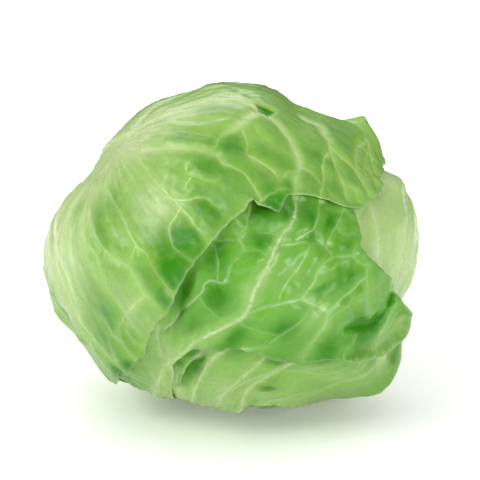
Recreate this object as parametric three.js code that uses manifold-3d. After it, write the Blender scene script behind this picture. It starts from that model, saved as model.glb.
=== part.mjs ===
// A head of cabbage, lying on its stump: a short stem that tapers up into the core, the dense heart
// round it, and eight outer leaves that lie over one another like shells, each with its ribs.
// Millimetres, +Z up. The front faces -Y. The origin is the middle of the stump's cut face.
import * as THREE from 'three';
import { mergeVertices } from 'three/addons/utils/BufferGeometryUtils.js';
import Module from 'manifold-3d';

const wasm = await Module();
wasm.setup();

// The head as a whole. Every surface is a radius in each direction from the head's centre.
const CENTRE_HEIGHT = 87;
const OUTLINE_LEAN = 15; // degrees that the plane of the outline below leans back
const OUTLINE_STEP = 15; // degrees between the radii below, anticlockwise from +X
const OUTLINE_RADII = [
  101.5, 101.5, 92.5, 90, 84.5, 89, 90.5, 87, 88, 87, 85.5, 93.5,
  100.5, 100, 96, 96.5, 91.5, 85.5, 88, 91, 94.5, 105.5, 101, 101.5,
];
const FRONT_DEPTH = 94;
const BACK_DEPTH = 90;
const UNDERSIDE_HEIGHT = 3.5; // the leaves stay this far above the ground, on which only the stump rests
const UNDERSIDE_ROUNDING = 10;

// Soft dents and swells that all the layers share: direction, waves per radian and start of each.
const SWELL_HEIGHT = 0.7;
const SWELLS = [
  { along: [0.8, 0.2, 0.5], waves: 7, start: 0.4 },
  { along: [-0.3, 0.9, 0.4], waves: 8, start: 2.1 },
  { along: [0.2, -0.5, 0.8], waves: 9, start: 4.0 },
];

// Layers and stem
const BLADE_THICKNESS = 1.1;
const LAYER_STEP = 3.0; // depth from one leaf to the next
const COVER_FADE = 25; // degrees beyond a margin in which the leaf below comes back out
const EXPOSED_FROM = 2; // degrees beyond the margin of a leaf above where a leaf is free to lift
const EXPOSED_FULLY = 10;
const WAVE_START = 0.84; // share of the reach from which the margin is waved
const GAP = 0.3;
const STEM_GAP_ANGLE = 0.6; // between the stem's cone and a leaf's base
const STUMP_ANGLE = 12.5; // half angle of the stem's cone, with its tip at the head's centre
const STEM_LENGTH = 45;
const STEM_SIDES = 32;
const HEART_DETAIL = 9; // splits of each edge of an icosahedron
const HEART_CLEARANCE = 1.8; // beyond a layer's step
const HEART_FOLD = 0.8;

// Ribs are ridges on the outer face
const COVERED_RIB_HEIGHT = 0.4;
const STEM_EASE = 0.06; // radians from the stem's cone in which a rib comes up to its height
const RIB_STEP = 6; // degrees along a rib between its sections
const RIB_TAPER = 0.75; // share of a rib's width and height that it loses toward its tip
const DEGREES_PER_MM = 180 / (Math.PI * CENTRE_HEIGHT);

// Mesh of a leaf: degrees on its map
const OUTLINE_SAMPLES = 240;
const MARGIN_LOOK = 0.25; // bearings are tried this far apart for the next point along the margin
const MARGIN_ROWS = [[0.94, 0.8], [0.86, 1.1]]; // share of the reach and clearance in margin spacings
const INNER_SHARE = 0.8;
const NET_SPACING = 1.6; // in margin spacings
const STEM_SPACING = 0.5; // of margin points beside the stem, in margin spacings
const NET_ROWS = 18;
const FAR_CORNERS = [[-9000, -9000], [9000, -9000], [0, 9000]];

// Leaves from the inside out. A leaf is laid out on a map of the head round its own centre, given by
// longitude (0 in front, 90 at +X) and latitude. A bearing on it runs clockwise from the top, and a
// reach is the angle from the centre, so [bearing, reach] places a point of the margin, and
// [east, north] a point of a rib, all in degrees.
// waves: waves round the margin, which rise by waveHeight.
// lifts: the margin rises by height, from a share start of the reach on.
// rolls: the margin curls outward by turn degrees, from a share start of the reach on.
const LEAVES = [
  {
    name: 'leaf_right_inner', colour: '#bcd295', centre: [85, 10], spacing: 6, waves: 9, waveHeight: 1.0,
    margin: [
      [0, 64], [24, 62], [45, 57], [59, 55], [97, 58], [132, 62], [150, 70], [159, 78], [167, 92],
      [180, 95], [190, 92], [196, 76], [205, 66], [219, 56], [240, 50], [260, 48], [283, 48],
      [302, 48], [320, 50], [337, 57],
    ],
    ribs: [
      {
        width: 5, height: 2.2,
        route: [
          [1, -84], [-4, -62], [-12, -38], [-17, -17], [-15, -4], [-8, 6], [2, 18], [6, 36],
        ],
      },
      { width: 2.4, height: 0.9, route: [[-14, -34], [-27, -22], [-31, -6], [-28, 9], [-22, 20]] },
      { width: 2.4, height: 0.9, route: [[-6, -55], [12, -36], [24, -12], [28, 14]] },
      { width: 2.2, height: 0.8, route: [[-17, -16], [2, -2], [18, 14], [24, 32]] },
    ],
  },
  {
    name: 'leaf_left_low', colour: '#9dc36f', centre: [-88, -35], spacing: 6, waves: 8, waveHeight: 1.0,
    margin: [
      [0, 30], [45, 36], [75, 42], [92, 44], [110, 42], [130, 38], [148, 36], [158, 44], [170, 50],
      [190, 50], [200, 42], [215, 37], [240, 38], [270, 42], [300, 38], [330, 32],
    ],
    ribs: [
      { width: 6, height: 2.4, route: [[4, -38], [3, -25], [0, -8], [-2, 10], [0, 24]] },
      { width: 2.6, height: 1.0, route: [[3, -24], [14, -20], [26, -10], [34, 2]] },
      { width: 2.6, height: 1.0, route: [[2, -22], [-12, -18], [-24, -8], [-32, 4]] },
    ],
  },
  {
    name: 'leaf_back', colour: '#86b857', centre: [155, 5], spacing: 6, waves: 12, waveHeight: 2.0,
    margin: [
      [0, 72], [18, 67], [35, 62], [60, 56], [90, 53], [110, 55], [130, 60], [150, 68], [162, 80],
      [170, 92], [190, 92], [198, 78], [208, 68], [222, 60], [240, 54], [252, 52], [264, 47],
      [276, 49], [288, 46], [302, 53], [320, 62], [340, 70],
    ],
    lifts: [
      { bearing: 268, spread: 26, start: 0.84, height: 2.5 },
      { bearing: 305, spread: 14, start: 0.88, height: 2.0 },
    ],
    ribs: [
      { width: 8, height: 3.4, route: [[0, -79], [4, -58], [5, -36], [2, -14], [-2, 8], [-4, 28], [-2, 44]] },
      { width: 3, height: 1.3, route: [[4, -44], [-14, -34], [-30, -18], [-38, 0]] },
      { width: 2.8, height: 1.2, route: [[3, -22], [-12, -8], [-26, 8], [-34, 26]] },
      { width: 2.6, height: 1.1, route: [[0, 0], [-12, 16], [-22, 34]] },
      { width: 3, height: 1.3, route: [[5, -34], [20, -24], [34, -10], [42, 8]] },
      { width: 2.8, height: 1.2, route: [[1, -8], [14, 4], [28, 16], [34, 32]] },
      { width: 2.6, height: 1.1, route: [[-3, 18], [8, 30], [16, 44]] },
    ],
  },
  {
    name: 'leaf_bottom_small', colour: '#669c3c', centre: [35, -50], spacing: 5, waves: 5, waveHeight: 1.0,
    margin: [
      [0, 23], [30, 24], [60, 21], [80, 18], [98, 16], [110, 12], [122, 14], [140, 12], [155, 20],
      [168, 34], [200, 34], [212, 30], [226, 22], [240, 20], [258, 20], [285, 21], [320, 22],
    ],
    lifts: [{ bearing: 124, spread: 22, start: 0.55, height: 2.0 }],
    ribs: [
      { width: 3.4, height: 1.4, route: [[-1, -24], [-1, -13], [0, 0], [2, 14]] },
    ],
  },
  {
    name: 'leaf_front_low', colour: '#83b158', centre: [8, -32], spacing: 5, waves: 8, waveHeight: 1.4,
    margin: [
      [0, 28], [20, 32], [50, 42], [75, 52], [88, 58], [96, 62], [102, 61], [106, 56], [111, 54],
      [116, 47], [126, 42], [132, 40], [138, 34], [146, 25], [155, 20], [168, 20], [180, 24],
      [186, 38], [190, 52], [203, 52], [209, 40], [216, 34], [236, 31], [260, 28], [290, 27], [330, 26],
    ],
    lifts: [
      { bearing: 105, spread: 16, start: 0.7, height: 7.0 },
      { bearing: 140, spread: 14, start: 0.72, height: 1.8 },
    ],
    ribs: [
      {
        width: 7, height: 2.8,
        route: [
          [-13, -42], [-13, -34], [-8, -24], [0, -17], [9, -15], [20, -12], [30, -9], [41, -12],
        ],
      },
      { width: 3, height: 1.3, route: [[-13, -36], [-14, -24], [-9, -10], [-3, 3]] },
      { width: 2.8, height: 1.2, route: [[-10, -28], [-4, -14], [4, -3], [13, 7]] },
      { width: 2.6, height: 1.1, route: [[-15, -38], [-19, -20], [-18, -4]] },
      { width: 2.4, height: 1.0, route: [[14, -14], [24, -4], [34, 4]] },
    ],
  },
  {
    name: 'leaf_front', colour: '#6ea741', centre: [-18, 5], spacing: 5, waves: 11, waveHeight: 1.4,
    margin: [
      [0, 50], [15, 56], [30, 58], [45, 60], [65, 61], [71, 62], [75, 62], [80, 59], [84, 62],
      [88, 66], [95, 76], [101, 84], [106, 91], [110, 91], [113, 87], [115, 79], [117, 70], [119, 60],
      [125, 52], [129, 46], [133, 38], [139, 30], [148, 26], [160, 25], [170, 28], [175, 36],
      [178, 56], [180, 84], [194, 84], [200, 72], [208, 66], [218, 58], [227, 44], [240, 35],
      [262, 31], [285, 30], [305, 32], [325, 38], [342, 44],
    ],
    lifts: [
      { bearing: 109, spread: 18, start: 0.78, height: 1.6 },
      { bearing: 150, spread: 34, start: 0.7, height: 1.2 },
    ],
    rolls: [{ bearing: 108, spread: 14, start: 0.92, turn: 60 }],
    ribs: [
      {
        width: 16, height: 3.2,
        route: [
          [-7, -76], [-7, -62], [-5, -44], [-2, -32], [5, -23], [13, -16], [21, -10], [25, -3],
          [30, 8], [36, 20], [37, 36],
        ],
      },
      { width: 3.6, height: 1.6, route: [[21, -10], [34, -7], [47, -9], [48, -15], [41, -28]] },
      { width: 3, height: 1.3, route: [[40, -7], [46, 4], [49, 11], [52, 19], [55, 27]] },
      { width: 3, height: 1.3, route: [[46, -9], [55, -6], [64, 0]] },
      { width: 3, height: 1.3, route: [[33, 14], [43, 15], [45, 27]] },
      { width: 3, height: 1.3, route: [[48, 10], [57, 7], [66, 3], [75, -6]] },
      { width: 3.4, height: 1.5, route: [[20, -10], [12, -9], [11, -1], [21, 8], [20, 16]] },
      { width: 3, height: 1.3, route: [[-3, -36], [-6, -22], [0, -12], [9, -7]] },
      { width: 2.6, height: 1.1, route: [[24, -22], [34, -17], [43, -9]] },
      { width: 3.4, height: 1.5, route: [[-6, -52], [-20, -44], [-30, -34]] },
    ],
  },
  {
    name: 'leaf_top', colour: '#7fb64d', centre: [-85, 38], spacing: 5.2, waves: 14, waveHeight: 1.8,
    margin: [
      [0, 98], [3, 106], [7, 112], [14, 113], [23, 110], [31, 109], [38, 109], [43, 107], [47, 101],
      [50, 95], [53, 89], [56, 84], [58, 80], [63, 77], [73, 75], [79, 74], [84, 71], [90, 73],
      [98, 73], [107, 76], [114, 77], [121, 78], [128, 78], [136, 81], [147, 81], [156, 83],
      [164, 82], [170, 86], [176, 96], [181, 118], [197, 118], [204, 106], [212, 98], [219, 93],
      [230, 86], [239, 84], [248, 77], [257, 75], [270, 66], [287, 63], [300, 60], [312, 62],
      [325, 60], [338, 65], [346, 70], [352, 80], [356, 90],
    ],
    lifts: [
      { bearing: 359, spread: 7.5, start: 0.88, height: 10 },
      { bearing: 22, spread: 22, start: 0.9, height: 1.5 },
      { bearing: 60, spread: 7, start: 0.9, height: 2.5 },
      { bearing: 152, spread: 14, start: 0.9, height: 2.5 },
      { bearing: 262, spread: 40, start: 0.9, height: 1.5 },
    ],
    ribs: [
      {
        width: 15, height: 3.6,
        route: [
          [-10, -112], [-20, -98], [-30, -78], [-33, -56], [-28, -35], [-18, -16], [-5, 1], [8, 12],
          [15, 24], [18, 40], [24, 53], [31, 57],
        ],
      },
      { width: 4, height: 1.5, route: [[31, 57], [40, 60], [52, 59], [61, 56], [70, 48]] },
      { width: 5, height: 1.8, route: [[6, 11], [23, 12], [40, 10], [54, 11], [70, 8]] },
      { width: 3.6, height: 1.5, route: [[21, 12], [35, 20], [46, 29], [58, 34], [72, 35]] },
      { width: 3.2, height: 1.3, route: [[22, 12], [26, 23], [34, 32], [40, 37], [53, 42], [61, 38]] },
      { width: 3.6, height: 1.5, route: [[22, 12], [21, 2], [30, -6], [40, -13], [50, -18], [66, -25]] },
      { width: 3.4, height: 1.4, route: [[8, 11], [12, 0], [20, -10], [32, -21], [44, -27], [56, -35]] },
      { width: 3.4, height: 1.4, route: [[-9, -4], [5, -18], [20, -32], [33, -43], [35, -60]] },
      {
        width: 3.6, height: 1.5,
        route: [
          [14, 30], [12, 52], [16, 74], [27, 79], [40, 79], [56, 84], [66, 84],
        ],
      },
      { width: 3, height: 1.2, route: [[39, 79], [50, 74], [62, 66], [73, 58]] },
      { width: 3.6, height: 1.5, route: [[-31, -62], [-14, -62], [4, -68], [14, -78]] },
      { width: 3.8, height: 1.6, route: [[-33, -52], [-52, -46], [-66, -32], [-74, -16]] },
      { width: 3.6, height: 1.5, route: [[-26, -31], [-40, -16], [-50, 2], [-54, 20]] },
      { width: 3.4, height: 1.4, route: [[-14, -11], [-24, 8], [-32, 28], [-34, 46]] },
      { width: 3.2, height: 1.3, route: [[8, 14], [-4, 30], [-10, 48], [-8, 66]] },
    ],
  },
  {
    name: 'leaf_back_low', colour: '#78ae48', centre: [178, -35], spacing: 5.6, waves: 11, waveHeight: 3.0,
    margin: [
      [0, 46], [14, 51], [30, 48], [48, 54], [64, 52], [80, 57], [95, 52], [107, 51], [120, 45],
      [135, 42], [150, 41], [161, 46], [170, 52], [190, 52], [198, 44], [210, 40], [225, 43],
      [238, 45], [252, 51], [266, 53], [282, 58], [296, 53], [312, 55], [328, 49], [345, 50],
    ],
    lifts: [
      { bearing: 30, spread: 60, start: 0.86, height: 3.5 },
      { bearing: 300, spread: 40, start: 0.86, height: 4.5 },
    ],
    rolls: [{ bearing: 348, spread: 22, start: 0.86, turn: 70 }],
    ribs: [
      { width: 14, height: 2.4, route: [[1, -40], [2, -28], [3, -12], [0, 6], [-3, 22], [-2, 36]] },
      { width: 3.8, height: 1.6, route: [[2, -26], [16, -18], [32, -4], [40, 10]] },
      { width: 3.6, height: 1.5, route: [[2, -4], [14, 6], [24, 20], [28, 34]] },
      { width: 3.8, height: 1.6, route: [[3, -20], [-14, -12], [-28, 0], [-38, 12]] },
      { width: 3.4, height: 1.4, route: [[-1, 10], [-14, 20], [-24, 32]] },
      { width: 3.2, height: 1.3, route: [[2, -32], [26, -26], [44, -14]] },
      { width: 3.2, height: 1.3, route: [[2, -32], [-24, -26], [-42, -14]] },
    ],
  },
];

const STEM_COLOUR = '#dfe2bd';
const HEART_COLOUR = '#dfe9b9';
const LEAF_ROUGHNESS = 0.5;
const STEM_ROUGHNESS = 0.7;

function smoothstep(from, to, value) {
  const share = THREE.MathUtils.clamp((value - from) / (to - from), 0, 1);
  return share * share * (3 - 2 * share);
}

function wrapDegrees(angle) {
  return ((angle % 360) + 360) % 360;
}

// A smooth closed curve through [angle, value] pairs, given in rising order of angle.
function closedCurve(pairs) {
  const count = pairs.length;
  const angleAt = (index) => pairs[(index + 2 * count) % count][0] + 360 * Math.floor(index / count);
  const valueAt = (index) => pairs[(index + 2 * count) % count][1];
  const slopeAt = (index) => {
    const [before, after] = [index - 1, index + 1];
    return (valueAt(after) - valueAt(before)) / (angleAt(after) - angleAt(before));
  };
  return (angle) => {
    let wrapped = wrapDegrees(angle);
    if (wrapped < pairs[0][0]) wrapped += 360;
    let index = count - 1;
    while (index > 0 && angleAt(index) > wrapped) index -= 1;
    const width = angleAt(index + 1) - angleAt(index);
    const t = (wrapped - angleAt(index)) / width;
    return (2 * t ** 3 - 3 * t ** 2 + 1) * valueAt(index)
      + (t ** 3 - 2 * t ** 2 + t) * width * slopeAt(index)
      + (3 * t ** 2 - 2 * t ** 3) * valueAt(index + 1)
      + (t ** 3 - t ** 2) * width * slopeAt(index + 1);
  };
}

// ---- the outer surface of the head ----

const lean = THREE.MathUtils.degToRad(OUTLINE_LEAN);
const outlineUp = new THREE.Vector3(0, Math.sin(lean), Math.cos(lean));
const outlineFront = new THREE.Vector3(0, -Math.cos(lean), Math.sin(lean));
const outlineCurve = closedCurve(OUTLINE_RADII.map((radius, index) => [index * OUTLINE_STEP, radius]));
const DOWN = new THREE.Vector3(0, 0, -1);
const swells = SWELLS.map((swell) => ({ ...swell, axis: new THREE.Vector3(...swell.along).normalize() }));

function smoothLower(a, b, rounding) {
  const share = THREE.MathUtils.clamp(0.5 + (0.5 * (b - a)) / rounding, 0, 1);
  return b * (1 - share) + a * share - rounding * share * (1 - share);
}

function headRadius(direction) {
  const up = direction.dot(outlineUp);
  const front = direction.dot(outlineFront);
  const across = Math.hypot(direction.x, up);
  const outline = outlineCurve(THREE.MathUtils.radToDeg(Math.atan2(up, direction.x)));
  const depth = front > 0 ? FRONT_DEPTH : BACK_DEPTH;
  let radius = 1 / Math.hypot(across / outline, front / depth);
  for (const { axis, waves, start } of swells) {
    radius += SWELL_HEIGHT * Math.sin(waves * direction.dot(axis) + start);
  }
  const floor = (CENTRE_HEIGHT - UNDERSIDE_HEIGHT) / Math.max(-direction.z, 0.05);
  return direction.z < -0.05 ? smoothLower(radius, floor, UNDERSIDE_ROUNDING) : radius;
}

// ---- maps of the head round each leaf's centre ----

function mapFrame([longitude, latitude]) {
  const lon = THREE.MathUtils.degToRad(longitude);
  const lat = THREE.MathUtils.degToRad(latitude);
  return {
    latitude: lat,
    centre: new THREE.Vector3(Math.cos(lat) * Math.sin(lon), -Math.cos(lat) * Math.cos(lon), Math.sin(lat)),
    east: new THREE.Vector3(Math.cos(lon), Math.sin(lon), 0),
    north: new THREE.Vector3(-Math.sin(lat) * Math.sin(lon), Math.sin(lat) * Math.cos(lon), Math.cos(lat)),
  };
}

function directionAt(frame, bearing, reach) {
  const angle = THREE.MathUtils.degToRad(bearing);
  const arc = THREE.MathUtils.degToRad(reach);
  return new THREE.Vector3()
    .addScaledVector(frame.centre, Math.cos(arc))
    .addScaledVector(frame.east, Math.sin(arc) * Math.sin(angle))
    .addScaledVector(frame.north, Math.sin(arc) * Math.cos(angle));
}

function bearingAndReach(frame, direction) {
  const reach = Math.acos(THREE.MathUtils.clamp(direction.dot(frame.centre), -1, 1));
  const bearing = Math.atan2(direction.dot(frame.east), direction.dot(frame.north));
  return [wrapDegrees(THREE.MathUtils.radToDeg(bearing)), THREE.MathUtils.radToDeg(reach)];
}

// The reach at which a bearing meets the stem's cone, so that a leaf's base ends against the stem.
function stemReach(frame, bearing) {
  const poleArc = Math.PI / 2 + frame.latitude;
  const turn = THREE.MathUtils.degToRad(bearing - 180);
  const coneAngle = THREE.MathUtils.degToRad(STUMP_ANGLE + STEM_GAP_ANGLE);
  const along = Math.sin(poleArc) * Math.cos(turn);
  const size = Math.hypot(Math.cos(poleArc), along);
  if (along <= 0 || Math.cos(coneAngle) >= size) return Infinity;
  const arc = Math.atan2(along, Math.cos(poleArc)) - Math.acos(Math.cos(coneAngle) / size);
  return THREE.MathUtils.radToDeg(arc);
}

const leaves = LEAVES.map((leaf, layer) => {
  const frame = mapFrame(leaf.centre);
  const curve = closedCurve(leaf.margin);
  const marginReach = (bearing) => Math.min(curve(bearing), stemReach(frame, bearing));
  const outline = Array.from({ length: OUTLINE_SAMPLES }, (_, sample) => {
    const bearing = (360 * sample) / OUTLINE_SAMPLES;
    return directionAt(frame, bearing, marginReach(bearing));
  });
  const ribLines = leaf.ribs.map((rib) => {
    const route = new THREE.SplineCurve(rib.route.map(([east, north]) => new THREE.Vector2(east, north)));
    return { ...rib, places: route.getSpacedPoints(Math.max(3, Math.round(route.getLength() / RIB_STEP))) };
  });
  return { lifts: [], rolls: [], ...leaf, layer, frame, marginReach, outline, ribLines };
});

// Degrees from a leaf's margin, above 0 outside it.
function beyondMargin(leaf, direction) {
  const nearest = Math.max(...leaf.outline.map((point) => point.dot(direction)));
  const distance = THREE.MathUtils.radToDeg(Math.acos(Math.min(nearest, 1)));
  const [bearing, reach] = bearingAndReach(leaf.frame, direction);
  return reach > leaf.marginReach(bearing) ? distance : -distance;
}

// Depth below the head's surface, and how free of the leaves above, a layer is in a direction.
function lieUnder(layer, direction) {
  let depth = 0;
  let exposed = 1;
  for (const leaf of leaves.slice(layer + 1)) {
    const beyond = beyondMargin(leaf, direction);
    depth += LAYER_STEP * (1 - smoothstep(0, COVER_FADE, beyond));
    exposed *= smoothstep(EXPOSED_FROM, EXPOSED_FULLY, beyond);
  }
  return { depth, exposed };
}

// ---- the blade of a leaf ----

function nearBearing(entry, bearing) {
  const apart = Math.abs(wrapDegrees(bearing - entry.bearing + 180) - 180);
  return 1 - smoothstep(0, entry.spread, apart);
}

// A point of a leaf's outer face, at a share of the reach of its margin.
function bladePoint(leaf, bearing, share) {
  const marginReach = leaf.marginReach(bearing);
  let reach = share * marginReach;
  let direction = directionAt(leaf.frame, bearing, reach);
  const { depth, exposed } = lieUnder(leaf.layer, direction);
  let radius = headRadius(direction) - depth;
  const wave = 0.5 + 0.5 * Math.sin(THREE.MathUtils.degToRad(leaf.waves * bearing) + leaf.layer);
  let rise = leaf.waveHeight * wave * smoothstep(WAVE_START, 1, share) * exposed;
  for (const lift of leaf.lifts) {
    rise += lift.height * nearBearing(lift, bearing) * smoothstep(lift.start, 1, share) * exposed;
  }
  for (const roll of leaf.rolls) {
    const turn = THREE.MathUtils.degToRad(roll.turn) * nearBearing(roll, bearing) * exposed;
    const arc = THREE.MathUtils.degToRad((share - roll.start) * marginReach) * radius;
    const fullArc = THREE.MathUtils.degToRad((1 - roll.start) * marginReach) * radius;
    if (arc > 0 && turn > 0.01) {
      const rollRadius = fullArc / turn;
      const inward = arc - rollRadius * Math.sin(arc / rollRadius);
      rise += rollRadius * (1 - Math.cos(arc / rollRadius));
      reach -= THREE.MathUtils.radToDeg(inward / radius);
    }
  }
  direction = directionAt(leaf.frame, bearing, reach);
  return direction.multiplyScalar(radius + rise).add(new THREE.Vector3(0, 0, CENTRE_HEIGHT));
}

// ---- the mesh of a leaf ----

// Height of the highest rib above the blade at [east, north].
function ribHeight(leaf, east, north) {
  let height = 0;
  for (const rib of leaf.ribLines) {
    for (let step = 0; step < rib.places.length - 1; step += 1) {
      const [from, to] = [rib.places[step], rib.places[step + 1]];
      const along = to.clone().sub(from);
      const offset = new THREE.Vector2(east, north).sub(from);
      const share = THREE.MathUtils.clamp(offset.dot(along) / along.lengthSq(), 0, 1);
      const distance = offset.addScaledVector(along, -share).length();
      const taper = 1 - RIB_TAPER * ((step + share) / (rib.places.length - 1));
      const halfWidth = 0.5 * rib.width * taper * DEGREES_PER_MM;
      height = Math.max(height, rib.height * taper * (1 - distance / halfWidth));
    }
  }
  return height;
}

// Places for the mesh's points: first the margin, then the ribs' crests and feet, then rows along
// the margin, then an even net inside. Each later one keeps a clear distance from those before it.
function meshPlaces(leaf) {
  const places = [];
  const addClear = (place, clearance) => {
    const free = places.every((other) => other.distanceTo(place) > clearance);
    if (free) places.push(place);
  };
  const marginAt = (bearing, share) => {
    const angle = THREE.MathUtils.degToRad(bearing);
    const reach = share * leaf.marginReach(bearing);
    return new THREE.Vector2(Math.sin(angle), Math.cos(angle)).multiplyScalar(reach);
  };
  for (let bearing = 0; bearing < 360; bearing += MARGIN_LOOK) {
    const besideStem = leaf.marginReach(bearing) === stemReach(leaf.frame, bearing);
    addClear(marginAt(bearing, 1), leaf.spacing * (besideStem ? STEM_SPACING : 1));
  }
  const marginCount = places.length;
  for (const rib of leaf.ribLines) {
    rib.places.forEach((place, step) => {
      const ahead = rib.places[Math.min(step + 1, rib.places.length - 1)];
      const behind = rib.places[Math.max(step - 1, 0)];
      const aside = ahead.clone().sub(behind).normalize().rotateAround(new THREE.Vector2(), Math.PI / 2);
      const taper = 1 - RIB_TAPER * (step / (rib.places.length - 1));
      const halfWidth = 0.5 * rib.width * taper * DEGREES_PER_MM;
      for (const side of [0, -1, 1]) {
        addClear(place.clone().addScaledVector(aside, side * halfWidth), 0.7 * halfWidth);
      }
    });
  }
  for (const [share, clearance] of MARGIN_ROWS) {
    for (let bearing = 0; bearing < 360; bearing += MARGIN_LOOK) {
      addClear(marginAt(bearing, share), clearance * leaf.spacing);
    }
  }
  const net = NET_SPACING * leaf.spacing;
  for (let row = -NET_ROWS; row <= NET_ROWS; row += 1) {
    for (let column = -NET_ROWS; column <= NET_ROWS; column += 1) {
      const place = new THREE.Vector2((column + 0.5 * (row % 2)) * net, row * net * Math.sqrt(0.75));
      if (shareOf(leaf, place) < INNER_SHARE) addClear(place, 0.6 * net);
    }
  }
  return { places, marginCount };
}

function shareOf(leaf, place) {
  return place.length() / leaf.marginReach(THREE.MathUtils.radToDeg(Math.atan2(place.x, place.y)));
}

function withCircle(points, corners) {
  const [a, b, c] = corners.map((corner) => points[corner]);
  const [bx, by, cx, cy] = [b.x - a.x, b.y - a.y, c.x - a.x, c.y - a.y];
  const area = 2 * (bx * cy - by * cx);
  const x = (cy * (bx * bx + by * by) - by * (cx * cx + cy * cy)) / area;
  const y = (bx * (cx * cx + cy * cy) - cx * (bx * bx + by * by)) / area;
  return { corners, x: a.x + x, y: a.y + y, radius: Math.hypot(x, y) };
}

// Delaunay triangles of places in the plane, each anticlockwise.
function triangulate(places) {
  const count = places.length;
  const points = [...places, ...FAR_CORNERS.map(([x, y]) => new THREE.Vector2(x, y))];
  let triangles = [withCircle(points, [count, count + 1, count + 2])];
  places.forEach((place, index) => {
    const open = new Map();
    triangles = triangles.filter(({ corners, x, y, radius }) => {
      if (Math.hypot(place.x - x, place.y - y) > radius) return true;
      corners.forEach((from, corner) => {
        const to = corners[(corner + 1) % 3];
        if (!open.delete(`${to} ${from}`)) open.set(`${from} ${to}`, [from, to]);
      });
      return false;
    });
    for (const [from, to] of open.values()) triangles.push(withCircle(points, [from, to, index]));
  });
  return triangles.map(({ corners }) => corners).filter((corners) => Math.max(...corners) < count);
}

function insideOutline(place, outline) {
  let inside = false;
  outline.forEach((from, index) => {
    const to = outline[(index + 1) % outline.length];
    const crosses = from.y > place.y !== to.y > place.y;
    const slant = (to.x - from.x) / (to.y - from.y);
    if (crosses && place.x < from.x + slant * (place.y - from.y)) inside = !inside;
  });
  return inside;
}

// The outer face with its ribs, the inner face one thickness below the blade, and the rim between
// them. Both faces are split into the same triangles.
function leafGeometry(leaf) {
  const { places, marginCount } = meshPlaces(leaf);
  const outline = places.slice(0, marginCount);
  const faces = triangulate(places).filter((corners) => {
    const middle = corners.reduce((sum, corner) => sum.add(places[corner]), new THREE.Vector2());
    return insideOutline(middle.divideScalar(3), outline);
  });
  const bladePoints = places.map((place) => {
    const bearing = THREE.MathUtils.radToDeg(Math.atan2(place.x, place.y));
    return bladePoint(leaf, bearing, Math.min(shareOf(leaf, place), 1));
  });
  const blade = new THREE.BufferGeometry().setFromPoints(bladePoints);
  blade.setIndex(faces.flat());
  blade.computeVertexNormals();
  const normals = blade.getAttribute('normal');
  const outer = [];
  const inner = [];
  bladePoints.forEach((point, index) => {
    const normal = new THREE.Vector3().fromBufferAttribute(normals, index);
    const direction = point.clone().setZ(point.z - CENTRE_HEIGHT).normalize();
    const fromStem = direction.angleTo(DOWN) - THREE.MathUtils.degToRad(STUMP_ANGLE);
    const free = ribHeight(leaf, places[index].x, places[index].y) * smoothstep(0, STEM_EASE, fromStem);
    const { exposed } = lieUnder(leaf.layer, direction);
    const height = THREE.MathUtils.lerp(Math.min(free, COVERED_RIB_HEIGHT), free, exposed);
    outer.push(point.clone().addScaledVector(normal, height));
    inner.push(point.clone().addScaledVector(normal, -BLADE_THICKNESS));
  });
  const below = places.length;
  const edges = new Map();
  for (const corners of faces) {
    corners.forEach((from, corner) => {
      const to = corners[(corner + 1) % 3];
      if (!edges.delete(`${to} ${from}`)) edges.set(`${from} ${to}`, [from, to]);
    });
  }
  const rim = [...edges.values()].flatMap(([from, to]) => [
    [from, from + below, to + below],
    [from, to + below, to],
  ]);
  const back = faces.map(([a, b, c]) => [a + below, c + below, b + below]);
  const geometry = new THREE.BufferGeometry().setFromPoints([...outer, ...inner]);
  geometry.setIndex([...faces, ...back, ...rim].flat());
  geometry.computeVertexNormals();
  return geometry;
}

// ---- joins and cuts ----

function asSolid(geometry) {
  const bare = geometry.clone();
  bare.deleteAttribute('normal');
  bare.deleteAttribute('uv');
  const merged = mergeVertices(bare, 1e-4);
  return new wasm.Manifold(new wasm.Mesh({
    numProp: 3,
    vertProperties: new Float32Array(merged.attributes.position.array),
    triVerts: new Uint32Array(merged.index.array),
  }));
}

function asGeometry(solid) {
  const mesh = solid.getMesh();
  const geometry = new THREE.BufferGeometry();
  geometry.setAttribute('position', new THREE.BufferAttribute(mesh.vertProperties, 3));
  geometry.setIndex(new THREE.BufferAttribute(mesh.triVerts, 1));
  geometry.computeVertexNormals();
  return geometry;
}

function namedMesh(name, geometry, colour, roughness) {
  const material = new THREE.MeshStandardMaterial({ color: colour, roughness, metalness: 0 });
  const mesh = new THREE.Mesh(geometry, material);
  mesh.name = name;
  return mesh;
}

// ---- stem and heart ----

// The stem is a cone with its cut face on the ground; grown makes the socket that it fits.
function stemGeometry(grown) {
  const slope = Math.tan(THREE.MathUtils.degToRad(STUMP_ANGLE));
  const topRadius = (CENTRE_HEIGHT - STEM_LENGTH) * slope;
  const profile = [
    new THREE.Vector2(0, -grown),
    new THREE.Vector2(CENTRE_HEIGHT * slope + grown, -grown),
    new THREE.Vector2(topRadius + grown, STEM_LENGTH),
    new THREE.Vector2(0.7 * topRadius, STEM_LENGTH + 0.4 * topRadius + grown),
    new THREE.Vector2(0, STEM_LENGTH + 0.5 * topRadius + grown),
  ];
  return new THREE.LatheGeometry(profile, STEM_SIDES).rotateX(Math.PI / 2);
}

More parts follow.
